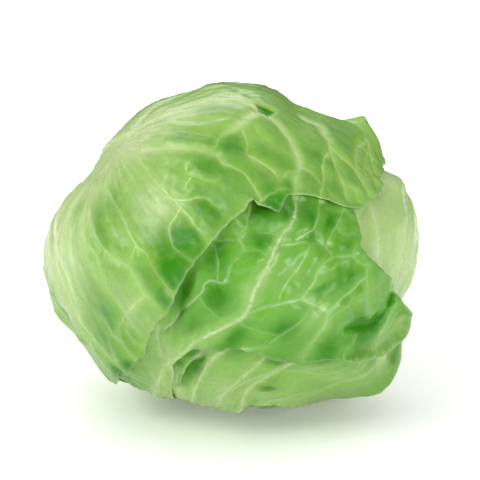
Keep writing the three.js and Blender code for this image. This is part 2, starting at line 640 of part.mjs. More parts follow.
function heartGeometry() {
  const geometry = new THREE.IcosahedronGeometry(1, HEART_DETAIL);
  const position = geometry.getAttribute('position');
  for (let index = 0; index < position.count; index += 1) {
    const direction = new THREE.Vector3().fromBufferAttribute(position, index).normalize();
    const { depth } = lieUnder(-1, direction);
    const longitude = Math.atan2(direction.x, -direction.y);
    const fold = HEART_FOLD * Math.sin(2 * longitude + 3 * direction.z);
    const radius = headRadius(direction) - depth - HEART_CLEARANCE + fold;
    direction.multiplyScalar(radius);
    position.setXYZ(index, direction.x, direction.y, direction.z + CENTRE_HEIGHT);
  }
  return geometry;
}

function heartMesh() {
  const solid = asSolid(heartGeometry()).subtract(asSolid(stemGeometry(GAP)));
  return namedMesh('heart', asGeometry(solid), HEART_COLOUR, LEAF_ROUGHNESS);
}

const head = new THREE.Group();
head.add(namedMesh('stem', stemGeometry(0), STEM_COLOUR, STEM_ROUGHNESS));
head.add(heartMesh());
for (const leaf of leaves) head.add(namedMesh(leaf.name, leafGeometry(leaf), leaf.colour, LEAF_ROUGHNESS));

export default head;
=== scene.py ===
# A head of cabbage lying on its cut stump: the stem, eight outer leaves with their ribs and veins,
# and the dense heart that they are wrapped round. The leaves come in the order in which they grew,
# the oldest and outermost first, because each one lies under those before it.
# Shapes are worked out in millimetres and degrees, and become metres when a mesh is made.
import math
from collections import namedtuple

import bpy
import numpy as np
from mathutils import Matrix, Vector, kdtree
from mathutils.geometry import delaunay_2d_cdt


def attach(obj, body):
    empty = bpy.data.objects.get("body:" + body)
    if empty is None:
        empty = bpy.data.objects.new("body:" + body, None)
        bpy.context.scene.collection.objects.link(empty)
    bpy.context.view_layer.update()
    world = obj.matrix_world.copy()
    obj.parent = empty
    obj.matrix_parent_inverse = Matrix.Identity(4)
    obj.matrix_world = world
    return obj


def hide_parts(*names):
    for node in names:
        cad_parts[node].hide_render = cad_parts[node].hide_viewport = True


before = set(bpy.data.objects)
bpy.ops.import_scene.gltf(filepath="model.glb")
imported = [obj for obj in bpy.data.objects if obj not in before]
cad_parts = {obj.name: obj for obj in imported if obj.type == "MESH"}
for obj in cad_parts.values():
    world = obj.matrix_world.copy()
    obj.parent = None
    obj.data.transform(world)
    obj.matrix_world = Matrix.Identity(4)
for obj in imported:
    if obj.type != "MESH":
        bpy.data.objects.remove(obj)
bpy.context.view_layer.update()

# ---- Camera -------------------------------------------------------------------------------------
# A short telephoto lens on a stand in front of the table, tilted down a little, so that the head
# fills most of a square frame and its outline isn't stretched.
LOOK_DOWN = math.radians(15)
AIM = Vector((0.0049, 0.0010, 0.0907))
CAMERA_DISTANCE = 0.720
camera_data = bpy.data.cameras.new("camera")
camera_data.lens = 100
camera_data.sensor_width = 36
camera = bpy.data.objects.new("camera", camera_data)
backwards = Vector((0, -math.cos(LOOK_DOWN), math.sin(LOOK_DOWN)))
camera.location = AIM + CAMERA_DISTANCE * backwards
camera.rotation_euler = (math.pi / 2 - LOOK_DOWN, 0, 0)
bpy.context.scene.collection.objects.link(camera)
bpy.context.scene.camera = camera

# ---- Stem ---------------------------------------------------------------------------------------
# The short thick stalk that carried the head, cut off square under the lowest leaves. It is woody
# flesh: a pale rind, a ring of bundles inside it, and a softer pith that has shrunk back a little.
STEM_LENGTH = 45
STUMP_ANGLE = 12.5  # half angle of the stem's cone, with its tip at the head's centre
CENTRE_HEIGHT = 87
STEM_DOME = 4.7
STEM_SIDES = 128
CUT_ROWS, SIDE_ROWS, DOME_ROWS = 25, 40, 7
CUT_ROUNDING = 0.6
SIDE_START = 0.012  # share of the stem's length
RIND = 2.4
PITH_SHRINK = 0.9
PITH_EASE = 3  # over which the pith comes back up to the rind
BUNDLES = 21
BUNDLE_DEPTH = 2.5  # from the rind in to the ring of bundles
BUNDLE_WIDTH = 1.3
BUNDLE_HEIGHT = 0.25
FIBRE_HEIGHT = 0.10
SIDE_SHRINK = 0.35
SIDE_RIDGES = [(0.22, 11, 0.13), (0.12, 23, -0.2)]  # height, number round the stem, lean


def smoothstep(start, end, value):
    share = np.clip((value - start) / (end - start), 0, 1)
    return share * share * (3 - 2 * share)


def linear(hex_colour):
    """The linear colour of an sRGB hex value."""
    parts = [int(hex_colour[i : i + 2], 16) / 255 for i in (1, 3, 5)]
    return [c / 12.92 if c <= 0.04045 else ((c + 0.055) / 1.055) ** 2.4 for c in parts] + [1]


def add(tree, kind, inputs=None, **settings):
    """Adds a node with its settings. Each input is given a value, another node's output, or just
    the other node, which stands for its first output."""
    node = tree.nodes.new(kind)
    for name, value in settings.items():
        setattr(node, name, value)
    for key, value in (inputs or {}).items():
        if isinstance(value, bpy.types.Node):
            value = value.outputs[0]
        if isinstance(value, bpy.types.NodeSocket):
            tree.links.new(value, node.inputs[key])
        else:
            node.inputs[key].default_value = value
    return node


def new_material(name):
    """An empty node material and its tree."""
    material = bpy.data.materials.new(name)
    material.use_nodes = True
    material.node_tree.nodes.clear()
    return material, material.node_tree


def finish_piece(piece, material, node):
    """Smooths a finished piece, gives it its material, hangs it under the root body and hides the part
    it stands for.
    """
    piece.data.shade_smooth()
    piece.data.materials.clear()
    piece.data.materials.append(material)
    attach(piece, "root")
    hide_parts(node)


def mesh_piece(name, points, faces):
    """A mesh object at the origin from points in millimetres."""
    mesh = bpy.data.meshes.new(name)
    mesh.from_pydata((np.asarray(points) * 0.001).tolist(), [], faces)
    mesh.update()
    piece = bpy.data.objects.new(name, mesh)
    bpy.context.scene.collection.objects.link(piece)
    return piece


def ring_faces(rings, sides):
    """Faces of a closed body whose points are rings, one above the other, and then the two points
    that close its bottom and its top."""
    last, bottom = (rings - 1) * sides, rings * sides
    around = [(i, (i + 1) % sides) for i in range(sides)]
    faces = []
    for start in range(0, last, sides):
        faces += [(start + a, start + b, start + b + sides, start + a + sides) for a, b in around]
    for a, b in around:
        faces += [(bottom, b, a), (bottom + 1, last + a, last + b)]
    return faces


stump_radius = CENTRE_HEIGHT * math.tan(math.radians(STUMP_ANGLE))
top_radius = (CENTRE_HEIGHT - STEM_LENGTH) * math.tan(math.radians(STUMP_ANGLE))
# The profile runs from the middle of the cut, out over the rind, up the side and over the dome.
profile = [(r, 0) for r in np.linspace(0, stump_radius - CUT_ROUNDING, CUT_ROWS + 1)[1:]]
for t in np.linspace(SIDE_START, 1, SIDE_ROWS):
    profile.append((stump_radius + (top_radius - stump_radius) * t, STEM_LENGTH * t))
for a in np.linspace(0, math.pi / 2, DOME_ROWS + 2)[1:-1]:
    profile.append((top_radius * math.cos(a), STEM_LENGTH + STEM_DOME * math.sin(a)))
profile = np.array(profile)
turns = np.arange(STEM_SIDES) * 2 * math.pi / STEM_SIDES
radius, turn = np.meshgrid(profile[:, 0], turns, indexing="ij")
height = np.repeat(profile[:, 1][:, None], STEM_SIDES, axis=1)
on_cut = height == 0
pith_radius = stump_radius - RIND
sunk = PITH_SHRINK * (1 - smoothstep(pith_radius - PITH_EASE, pith_radius, radius))
in_ring = np.exp(-(((radius - stump_radius + RIND + BUNDLE_DEPTH) / BUNDLE_WIDTH) ** 2))
bundle = BUNDLE_HEIGHT * np.cos(BUNDLES * turn) * in_ring
fibre = FIBRE_HEIGHT * np.sin(9 * turn + 0.8 * radius) * np.sin(1.9 * radius)
height = np.where(on_cut, np.maximum(sunk + (bundle + fibre) * (sunk > 0.05), 0), height)
ridged = sum(rise * np.cos(number * turn + lean * height) for rise, number, lean in SIDE_RIDGES)
radius = np.where(on_cut, radius, radius - SIDE_SHRINK + ridged * (height < STEM_LENGTH))
rows = np.stack([radius * np.cos(turn), radius * np.sin(turn), height], axis=-1).reshape(-1, 3)
points = np.vstack([rows, [[0, 0, PITH_SHRINK], [0, 0, STEM_LENGTH + STEM_DOME]]])
stem = mesh_piece("stem_core", points, ring_faces(len(profile), STEM_SIDES))

# Cabbage stalk: pale cream flesh with thread-like bundles that run up it.
# The cut is dry and dull, and a little browned where it was sliced.
stalk, tree = new_material("cabbage stalk, cut and dried")
place = add(tree, "ShaderNodeTexCoord").outputs["Object"]
stretched = add(tree, "ShaderNodeMapping", {"Vector": place, "Scale": (1, 1, 0.12)})
fibres = add(  # bundles about 1 mm apart
    tree, "ShaderNodeTexNoise", {"Vector": stretched, "Scale": 900, "Detail": 3}
)
blotches = add(tree, "ShaderNodeTexNoise", {"Vector": place, "Scale": 130, "Detail": 4})
flesh = add(
    tree, "ShaderNodeMix", {"Factor": fibres, "A": linear("#c9cc9d"), "B": linear("#e6e8c8")},
    data_type="RGBA",
).outputs["Result"]
browned = add(
    tree, "ShaderNodeMapRange", {"Value": blotches, "From Min": 0.55, "From Max": 0.75, "To Max": 0.6}
)
stalk_colour = add(
    tree, "ShaderNodeMix", {"Factor": browned, "A": flesh, "B": linear("#b39b6b")}, data_type="RGBA"
).outputs["Result"]
stalk_bump = add(tree, "ShaderNodeBump", {"Height": fibres, "Strength": 0.5, "Distance": 0.0002})
shader = add(
    tree, "ShaderNodeBsdfPrincipled",
    {"Base Color": stalk_colour, "Normal": stalk_bump, "Roughness": 0.75, "IOR": 1.40},
)
add(tree, "ShaderNodeOutputMaterial", {"Surface": shader})
finish_piece(stem, stalk, "stem")

# ---- Lower back leaf ----------------------------------------------------------------------------
# The oldest leaf still on the head, low at the back. A cabbage leaf is a thin fleshy blade with a
# thick pale midrib, raised veins on the outer face, puckered skin between them and a waved margin.
# It grew from the stem and cups the head, so it is laid out on a map of the head's own surface.
OUTLINE_LEAN = 15  # degrees that the plane of the outline below leans back
OUTLINE_STEP = 15  # degrees between the radii below, anticlockwise from +X
OUTLINE_RADII = [
    101.5, 101.5, 92.5, 90, 84.5, 89, 90.5, 87, 88, 87, 85.5, 93.5,
    100.5, 100, 96, 96.5, 91.5, 85.5, 88, 91, 94.5, 105.5, 101, 101.5,
]
FRONT_DEPTH = 94
BACK_DEPTH = 90
UNDERSIDE_HEIGHT = 3.5
UNDERSIDE_ROUNDING = 10
UNDERSIDE_FROM = 0.05  # the downward part of a direction from which the underside is flattened
SWELL_HEIGHT = 0.7
SWELLS = [((0.8, 0.2, 0.5), 7, 0.4), ((-0.3, 0.9, 0.4), 8, 2.1), ((0.2, -0.5, 0.8), 9, 4.0)]
SKIN_RADIUS = 90  # of the head, taken as round where lengths along its skin are worked out
MM_PER_DEGREE = math.pi * CENTRE_HEIGHT / 180

BLADE_THICKNESS = 1.1
MARGIN_THICKNESS = 0.65
THICK_FROM_MARGIN = 6  # where the blade has its full thickness
LAYER_STEP = 3.0  # from one leaf to the next below it
COVER_FADE = 25  # degrees beyond a margin in which the leaf below comes back out
EXPOSED_FROM = 2  # degrees beyond the margin of a leaf above where a leaf is free to lift
EXPOSED_FULLY = 10
LOOSE_FROM = -4  # degrees beyond that margin from which the skin of a leaf isn't pressed flat
LOOSE_FULLY = 3
COVERED_RIB_HEIGHT = 0.4
COVERED_SINK = 1.6  # by which a leaf is pressed in under those above it
SINK_REACH = 8  # degrees inside a covering margin in which it comes down
STEM_GAP_ANGLE = 0.6
STEM_EASE = 0.06  # radians from the stem's cone in which a rib comes up to its height
OUTLINE_SAMPLES = 240
WAVE_START = 0.84  # share of the reach from which the margin is waved
CRINKLE = 0.45  # degrees by which the margin is frayed in and out
CRINKLE_RISE = 0.35
CRINKLE_START = 0.93  # share of the reach from which it is frayed up and down
CALM_REACH = 60  # below this reach, toward the stem, the margin gets smoother
CALMEST = 0.2  # share of the fraying that is left there
FRAYS = [(23, 0.3), (37, 1.9), (61, 4.1), (89, 2.6)]  # waves round the margin and their start
WRINKLE_HEIGHT = 0.0011  # in metres, as the flesh of a leaf takes it

# The numbers of many lists below weren't worked out here or chosen by hand: a separate program
# turned places picked by eye into these map places, in whole degrees. They are most vein lines of
# the top, front, lower front and inner right leaf, much of those leaves' margins where they are
# seen from the front, and some ribs, spots and dents. The outline's radii above began that way too.

# Kinds of vein: width and height of its thread, reach and depth of the valley that the skin makes
# along it, reach of the pale flesh beside it, all in millimetres; how pale the flesh and thread are
VeinKind = namedtuple("VeinKind", "width height valley depth spread paleness bright")
BAND = VeinKind(1.9, 0.36, 2.6, 0.75, 3.4, 0.62, 0.6)
THREAD = VeinKind(1.1, 0.26, 1.8, 0.65, 1.7, 0.34, 0.8)
CREASE = VeinKind(0.8, 0.20, 1.2, 0.60, 1.4, 0.28, 0.5)
HAIR = VeinKind(0.7, 0.12, 1.0, 0.42, 1.2, 0.20, 0.4)
FOLD = VeinKind(1.0, 0.0, 1.1, 2.0, 1.0, 0.0, 0.0)  # a line along which the skin is creased
FOLD_SHADE = 1.3  # beside a fold, where painted shade makes the skin deep green
VEIN_TAPER = 0.5  # share of its height and paleness that a vein loses toward its tip
VEIN_WANDER = 0.15
RIB_TAPER = 0.75  # share of a rib's width and height that it loses toward its tip
RIB_PALE = 0.8
RIB_PALE_LOSS = 0.3  # toward its tip
RIB_PALE_REACH = 1.5
RIB_THREAD = 0.08  # half width of a rib's bright middle, as a share of the rib's
RIB_THREAD_LEAST = 0.4
NET_CELL = 5.6  # degrees across a cell of the fine net
NET_SEEDS = 26000
LINE_CLEARANCE = 0.6 * NET_CELL  # between the seeds of cells along a vein
CELL_CLEARANCE = 0.86 * NET_CELL
EDGE_LENGTHS = (0.4, 3 * NET_CELL)  # of the net; shorter and longer edges are left out
NET_WANDER = 0.6
NET_WIDTH = 1.0
NET_DEPTH = 0.11
NET_PALE = 0.08
DOME_HEIGHT = 0.8  # by which the skin is puckered up between the veins
DOME_REACH = 6.0  # from a vein to the top of the pucker
NET_DOME_HEIGHT = 0.16
NET_DOME_REACH = 3.2
PALE_ANGLES = (14, 62)  # degrees from the stem between which a leaf's pale base fades out
LEAST_PALE = 0.12
LEAST_DEEP = 0.12
DEEP_DOMES = 0.5
DEEP_SHARES = (0.2, 0.95)  # of the reach, between which the puckers get deeper green
SPOT_AT_VEIN = 0.7  # share of its strength that a deep spot keeps at a vein
SPOT_EASE = (0.3, 2.5)  # from a vein, between which it gets its full strength
SPOT_OVER_PALE = 0.85
RIM = (0.2, 1.5)  # from the margin, between which its light rim fades out
STREAK_ANGLE = 4.5  # degrees across a streak, as seen from where the veins fan out
STREAK_LENGTH = 22  # degrees on the map

# Spacing of the mesh's points on a leaf's map, in degrees
MAP_EDGE = 125  # beyond the reach of the largest leaf
MARGIN_SPACING = 0.5
ALONG_RIB = 1.6
ALONG_VEIN = 0.55
IN_NET = 0.8
OPEN_SPACING = 0.85
COVERED_SPACING = 3.4
RIB_CLEARANCE = 0.5
VEIN_CLEARANCE = 0.24
NET_CLEARANCE = 0.5
OPEN_CLEARANCE = 0.72 * OPEN_SPACING
COVERED_CLEARANCE = 0.6 * COVERED_SPACING
SEEN_SHARE, COVERED_SHARE = 0.994, 0.985  # of the reach, within which they stand
COVERED_FROM = -7  # degrees inside the margin of a leaf above, where nothing is seen of a leaf
RIB_ROWS = (0, -0.25, 0.25, -0.5, 0.5, -0.75, 0.75, -1, 1)  # of points, in half widths of a rib
VEIN_ROWS = (0, -0.7, 0.7, -1.5, 1.5, -3, 3)


def closed_curve(pairs):
    """A smooth closed curve through [angle, value] pairs, given in rising order of angle."""
    angle, value = np.array(pairs, float).T
    angle = np.concatenate([angle - 360, angle, angle + 360])
    value = np.tile(value, 3)
    slope = np.zeros_like(value)
    slope[1:-1] = (value[2:] - value[:-2]) / (angle[2:] - angle[:-2])

    def at(bearing):
        bearing = np.mod(bearing, 360)
        after = np.searchsorted(angle, bearing, side="right")
        before = after - 1
        width = angle[after] - angle[before]
        t = (bearing - angle[before]) / width
        return (
            (2 * t**3 - 3 * t**2 + 1) * value[before]
            + (t**3 - 2 * t**2 + t) * width * slope[before]
            + (3 * t**2 - 2 * t**3) * value[after]
            + (t**3 - t**2) * width * slope[after]
        )

    return at


lean = math.radians(OUTLINE_LEAN)
outline_up = np.array([0, math.sin(lean), math.cos(lean)])
outline_front = np.array([0, -math.cos(lean), math.sin(lean)])
outline_curve = closed_curve([(i * OUTLINE_STEP, r) for i, r in enumerate(OUTLINE_RADII)])


def head_radius(direction):
    """Radius of the head's outer surface in each direction from its centre."""
    up = direction @ outline_up
    front = direction @ outline_front
    across = np.hypot(direction[:, 0], up)
    outline = outline_curve(np.degrees(np.arctan2(up, direction[:, 0])))
    depth = np.where(front > 0, FRONT_DEPTH, BACK_DEPTH)
    found = 1 / np.hypot(across / outline, front / depth)
    for along, waves, start in SWELLS:
        axis = np.array(along) / np.linalg.norm(along)
        found += SWELL_HEIGHT * np.sin(waves * (direction @ axis) + start)
    down = -direction[:, 2]
    floor = (CENTRE_HEIGHT - UNDERSIDE_HEIGHT) / np.maximum(down, UNDERSIDE_FROM)
    share = np.clip(0.5 + 0.5 * (floor - found) / UNDERSIDE_ROUNDING, 0, 1)
    lowered = floor * (1 - share) + found * share - UNDERSIDE_ROUNDING * share * (1 - share)
    return np.where(down > UNDERSIDE_FROM, lowered, found)


def bearing_of(place):
    """The bearing of each [east, north] place, clockwise from north."""
    return np.degrees(np.arctan2(place[:, 0], place[:, 1]))


outer_leaves = []


class Leaf:
    """A leaf on a map of the head round its own centre, given by longitude (0 in front, 90 at +X)
    and latitude. A bearing runs clockwise from the top and a reach is the angle from the centre,
    so [bearing, reach] places a point of the margin, and [east, north] one of a rib or vein.
    lifts: (bearing, spread, start, height); rolls: (bearing, spread, start, degrees), with the
    start as a share of the reach; dents: (east, north, long, broad, bearing, height)."""

    def __init__(self, centre, margin, waves, wave_height, start, lifts=(), rolls=(), dents=()):
        lon, lat = math.radians(centre[0]), math.radians(centre[1])
        self.latitude = lat
        self.centre = np.array(
            [math.cos(lat) * math.sin(lon), -math.cos(lat) * math.cos(lon), math.sin(lat)]
        )
        self.east = np.array([math.cos(lon), math.sin(lon), 0])
        self.north = np.array(
            [-math.sin(lat) * math.sin(lon), math.sin(lat) * math.cos(lon), math.cos(lat)]
        )
        self.curve = closed_curve(margin)
        self.waves, self.wave_height, self.start = waves, wave_height, start
        self.lifts, self.rolls, self.dents = lifts, rolls, dents
        bearing = np.arange(OUTLINE_SAMPLES) * 360 / OUTLINE_SAMPLES
        self.outline = self.direction(bearing, self.margin_reach(bearing))
        self.above = list(outer_leaves)
        outer_leaves.append(self)

    def direction(self, bearing, reach):
        angle, arc = np.radians(bearing)[:, None], np.radians(reach)[:, None]
        aside = np.sin(angle) * self.east + np.cos(angle) * self.north
        return np.cos(arc) * self.centre + np.sin(arc) * aside

    def on_map(self, place):
        """The direction of each [east, north] place."""
        return self.direction(bearing_of(place), np.hypot(*place.T))

    def stem_reach(self, bearing):
        """The reach at which a bearing meets the stem's cone."""
        turn = np.radians(bearing - 180)
        cone = math.cos(math.radians(STUMP_ANGLE + STEM_GAP_ANGLE))
        pole = math.cos(math.pi / 2 + self.latitude)
        along = math.sin(math.pi / 2 + self.latitude) * np.cos(turn)
        size = np.hypot(pole, along)
        meets = (along > 0) & (cone < size)
        arc = np.arctan2(along, pole) - np.arccos(np.clip(cone / size, -1, 1))
        return np.where(meets, np.degrees(arc), 1e9)

    def margin_reach(self, bearing):
        fray = sum(np.sin(np.radians(w * bearing) + s + self.start) for w, s in FRAYS) / len(FRAYS)
        reach = self.curve(bearing)
        calm = np.clip(reach / CALM_REACH, CALMEST, 1)
        return np.minimum(reach + CRINKLE * calm * fray, self.stem_reach(bearing))

    def share_of_reach(self, place):
        return np.hypot(*place.T) / self.margin_reach(bearing_of(place))

    def beyond(self, direction):
        """Degrees from the leaf's margin, above 0 outside it."""
        nearest = np.minimum((direction @ self.outline.T).max(axis=1), 1)
        distance = np.degrees(np.arccos(nearest))
        reach = np.degrees(np.arccos(np.clip(direction @ self.centre, -1, 1)))
        bearing = np.degrees(np.arctan2(direction @ self.east, direction @ self.north))
        return np.where(reach > self.margin_reach(bearing), distance, -distance)

    def cover(self, direction):
        """Depth below the head's surface, freedom to lift, and how far out from the leaves above."""
        depth, exposed = np.zeros(len(direction)), np.ones(len(direction))
        clear = np.full(len(direction), 180.0)
        for leaf in self.above:
            beyond = leaf.beyond(direction)
            depth += LAYER_STEP * (1 - smoothstep(0, COVER_FADE, beyond))
            exposed *= smoothstep(EXPOSED_FROM, EXPOSED_FULLY, beyond)
            clear = np.minimum(clear, beyond)
        return depth, exposed, clear

    def blade(self, place):
        """The blade's outer face without its relief, at each place of the map."""
        bearing = bearing_of(place)
        margin = self.margin_reach(bearing)
        share = np.minimum(np.hypot(*place.T) / margin, 1)
        reach = share * margin
        direction = self.direction(bearing, reach)
        depth, exposed, _ = self.cover(direction)
        radius = head_radius(direction) - depth
        wave = 0.5 + 0.5 * np.sin(np.radians(self.waves * bearing) + self.start)
        at_margin = smoothstep(WAVE_START, 1, share) * exposed
        rise = self.wave_height * wave * at_margin
        fray = sum(np.sin(np.radians(1.3 * w * bearing) + 2 * s) for w, s in FRAYS) / len(FRAYS)
        rise += CRINKLE_RISE * fray * smoothstep(CRINKLE_START, 1, share) * exposed
        for at, spread, start, height in self.lifts:
            rise += height * near(bearing, at, spread) * smoothstep(start, 1, share) * exposed
        for dent in self.dents:
            rise += hump(place, *dent)
        for at, spread, start, turn in self.rolls:
            bend = math.radians(turn) * near(bearing, at, spread) * exposed
            arc = np.radians((share - start) * margin) * radius
            curl = np.radians((1 - start) * margin) * radius / np.maximum(bend, 0.01)
            rolled = (arc > 0) & (bend > 0.01)
            turned_by = np.where(rolled, arc / curl, 0)
            rise += curl * (1 - np.cos(turned_by))
            shift = np.where(rolled, arc, 0) - curl * np.sin(turned_by)
            reach = reach - np.degrees(shift / radius)
        direction = self.direction(bearing, reach)
        return direction * (radius + rise)[:, None] + [0, 0, CENTRE_HEIGHT]


def hump(place, east, north, long, broad, turn, height):
    """A smooth hump on the map, long along a bearing and broad across it."""
    turned = math.radians(turn)
    x, y = place[:, 0] - east, place[:, 1] - north
    along = (x * math.sin(turned) + y * math.cos(turned)) / long
    across = (x * math.cos(turned) - y * math.sin(turned)) / broad
    return height * np.exp(-(along**2) - across**2)


def spots_on(place, hub, spots):
    """The hump of each spot, which is long on the line from the hub."""
    for east, north, long, broad, strength in spots:
        fan = math.degrees(math.atan2(east - hub[0], north - hub[1]))
        yield hump(place, east, north, long, broad, fan, strength)


def near(bearing, at, spread):
    """1 at a bearing, falling smoothly to 0 at a spread from it."""
    apart = np.abs(np.mod(bearing - at + 180, 360) - 180)
    return 1 - smoothstep(0, spread, apart)


def run_of(line):
    """How far along a line each of its places is."""
    return np.concatenate([[0], np.cumsum(np.hypot(*np.diff(line, axis=0).T))])


def along_line(line, run, distances):
    return np.stack([np.interp(distances, run, line[:, i]) for i in (0, 1)], axis=1)


def spline(points, step):
    """Places one step apart along a smooth line through points, and their share of its length."""
    points = np.array(points, float)
    ends = np.vstack([2 * points[0] - points[1], points, 2 * points[-1] - points[-2]])
    t = np.linspace(0, 1, 24, endpoint=False)[:, None]
    line = []
    for a, b, c, d in zip(ends, ends[1:], ends[2:], ends[3:]):
        bend, twist = 2 * a - 5 * b + 4 * c - d, 3 * b - a - 3 * c + d
        line.append(0.5 * (2 * b + (c - a) * t + bend * t**2 + twist * t**3))
    line = np.vstack(line + [points[-1:]])
    run = run_of(line)
    even = np.linspace(0, run[-1], max(2, round(run[-1] / step) + 1))
    return along_line(line, run, even), even / run[-1]


def aside(places):
    """The unit step to the left of a line, at each of its places."""
    along = np.gradient(places, axis=0)
    along /= np.maximum(np.hypot(*along.T), 1e-9)[:, None]
    return np.stack([-along[:, 1], along[:, 0]], axis=1)


def rows_beside(line, half, rows):
    """Rows of places beside a line, each at its own number of half widths."""
    step = aside(line)
    return [line + row * half * step for row in rows]


def keeps_clear(grid, cell, place, clearance):
    """Puts a place into the cells of a grid if it keeps a clearance from those already there."""
    x, y = place
    column, row = math.floor(x / cell), math.floor(y / cell)
    beside = (grid.get((column + i, row + j), ()) for i in (-1, 0, 1) for j in (-1, 0, 1))
    if any(math.hypot(x - u, y - v) < clearance for near_by in beside for u, v in near_by):
        return False
    grid.setdefault((column, row), []).append(place)
    return True


def fine_net(lines, rng):
    """Edges of the cells between veins: seeds stand in pairs beside each line, so that the cells
    meet along it, and are scattered evenly elsewhere. Each edge is a short row of places."""
    seeds, grid = [], {}

    def try_seeds(places, clearance):
        seeds.extend(p for p in places if keeps_clear(grid, NET_CELL, p, clearance))

    for line in lines:
        places, _ = spline(line, NET_CELL * 1.02)
        for place, step in zip(places, aside(places)):
            pair = (tuple(place + 0.5 * NET_CELL * step), tuple(place - 0.5 * NET_CELL * step))
            try_seeds(pair, LINE_CLEARANCE)
    scattered = rng.uniform(-MAP_EDGE, MAP_EDGE, (NET_SEEDS, 2))
    try_seeds(map(tuple, scattered), CELL_CLEARANCE)
    points, _, triangles, *_ = delaunay_2d_cdt([Vector(s) for s in seeds], [], [], 0, 1e-6)
    centres, beside = [], {}
    for index, corners in enumerate(triangles):
        (ax, ay), (bx, by), (cx, cy) = (points[c] for c in corners)
        bx, by, cx, cy = bx - ax, by - ay, cx - ax, cy - ay
        area = 2 * (bx * cy - by * cx)
        x = (cy * (bx * bx + by * by) - by * (cx * cx + cy * cy)) / area
        y = (bx * (cx * cx + cy * cy) - cx * (bx * bx + by * by)) / area
        centres.append((ax + x, ay + y))
        for corner in range(3):
            edge = frozenset((corners[corner], corners[(corner + 1) % 3]))
            beside.setdefault(edge, []).append(index)
    edges = []
    for pair in beside.values():
        if len(pair) < 2:
            continue
        start, end = np.array(centres[pair[0]]), np.array(centres[pair[1]])
        length = np.hypot(*(end - start))
        if EDGE_LENGTHS[0] < length < EDGE_LENGTHS[1]:
            share = np.linspace(0, 1, max(2, round(length / IN_NET) + 1))[:, None]
            row = start + (end - start) * share
            row += NET_WANDER * np.sin(row[:, ::-1] * 0.9 + np.sin(row * 0.47) * 2)
            edges.append(row)
    return np.vstack(edges)


def search_tree(rows):
    """A tree that finds the nearest of some places or directions."""
    tree = kdtree.KDTree(len(rows))
    for index, row in enumerate(rows):
        tree.insert((*row, 0)[:3], index)
    tree.balance()
    return tree


def thin_out(places, clearance, kept):
    """The kept places and those others that keep a clearance from one another and from them."""
    tree, grid, chosen = search_tree(kept), {}, []
    for x, y in places:
        if tree.find((x, y, 0))[2] >= clearance and keeps_clear(grid, clearance, (x, y), clearance):
            chosen.append((x, y))
    return np.vstack([kept, chosen]) if chosen else kept


def lattice(spacing):
    """An even net of places, far enough to cover the largest leaf."""
    rows = int(MAP_EDGE / spacing)
    column, row = np.meshgrid(np.arange(-rows, rows + 1), np.arange(-rows, rows + 1))
    x, y = (column + 0.5 * (row % 2)) * spacing, row * spacing * math.sqrt(0.75)
    return np.stack([x.ravel(), y.ravel()], axis=1)


def distance_to_rows(skin, rows):
    """Millimetres from points of the skin to the nearest of some rows of directions, and its index."""
    tree = search_tree(rows)
    index, distance = np.array([tree.find(place)[1:] for place in skin]).T
    return distance * SKIN_RADIUS, index.astype(int)


def rib_distance(place, line):
    """Degrees from each place to a line, and the share along it of the nearest point."""
    nearest, share = np.full(len(place), 1e9), np.zeros(len(place))
    for step, (start, end) in enumerate(zip(line, line[1:])):
        along = end - start
        t = np.clip((place - start) @ along / (along @ along), 0, 1)
        distance = np.hypot(*(place - start - t[:, None] * along).T)
        closer = distance < nearest
        nearest = np.where(closer, distance, nearest)
        share = np.where(closer, (step + t) / (len(line) - 1), share)
    return nearest, share


def mesh_places(leaf, rib_lines, vein_lines, net):
    """Places on the map for the points of a leaf's mesh, and its faces. They stand along the
    margin, the ribs, the veins and the fine net, with an even filling, coarser where covered."""
    bearing = np.arange(0, 360, 0.1)
    reach, angle = leaf.margin_reach(bearing), np.radians(bearing)
    margin = np.stack([np.sin(angle) * reach, np.cos(angle) * reach], axis=1)
    run = run_of(margin)
    margin = along_line(margin, run, np.arange(0, run[-1] - 0.5 * MARGIN_SPACING, MARGIN_SPACING))
    along_ribs, along_veins = [], []
    for width, _, line in rib_lines:
        taper = (1 - RIB_TAPER * np.linspace(0, 1, len(line)))[:, None]
        along_ribs += rows_beside(line, 0.5 * width / MM_PER_DEGREE * taper, RIB_ROWS)
    for kind, line in vein_lines:
        along_veins += rows_beside(line, 0.5 * kind.width / MM_PER_DEGREE, VEIN_ROWS)

    def seen(places, inside, covered=False):
        places = places[leaf.share_of_reach(places) < inside]
        clear = leaf.cover(leaf.on_map(places))[2]
        return places[(clear < COVERED_FROM) == covered]

    places = margin
    for candidates, clearance in (
        (np.vstack(along_ribs), RIB_CLEARANCE),
        (np.vstack(along_veins), VEIN_CLEARANCE),
        (net, NET_CLEARANCE),
        (lattice(OPEN_SPACING), OPEN_CLEARANCE),
    ):
        places = thin_out(seen(candidates, SEEN_SHARE), clearance, places)
    filling = seen(lattice(COVERED_SPACING), COVERED_SHARE, covered=True)
    places = thin_out(filling, COVERED_CLEARANCE, places)
    loop = [(i, (i + 1) % len(margin)) for i in range(len(margin))]
    found, _, faces, *_ = delaunay_2d_cdt([Vector(p) for p in places], loop, [], 1, 1e-6)
    return np.array([tuple(p) for p in found]), [tuple(f) for f in faces]


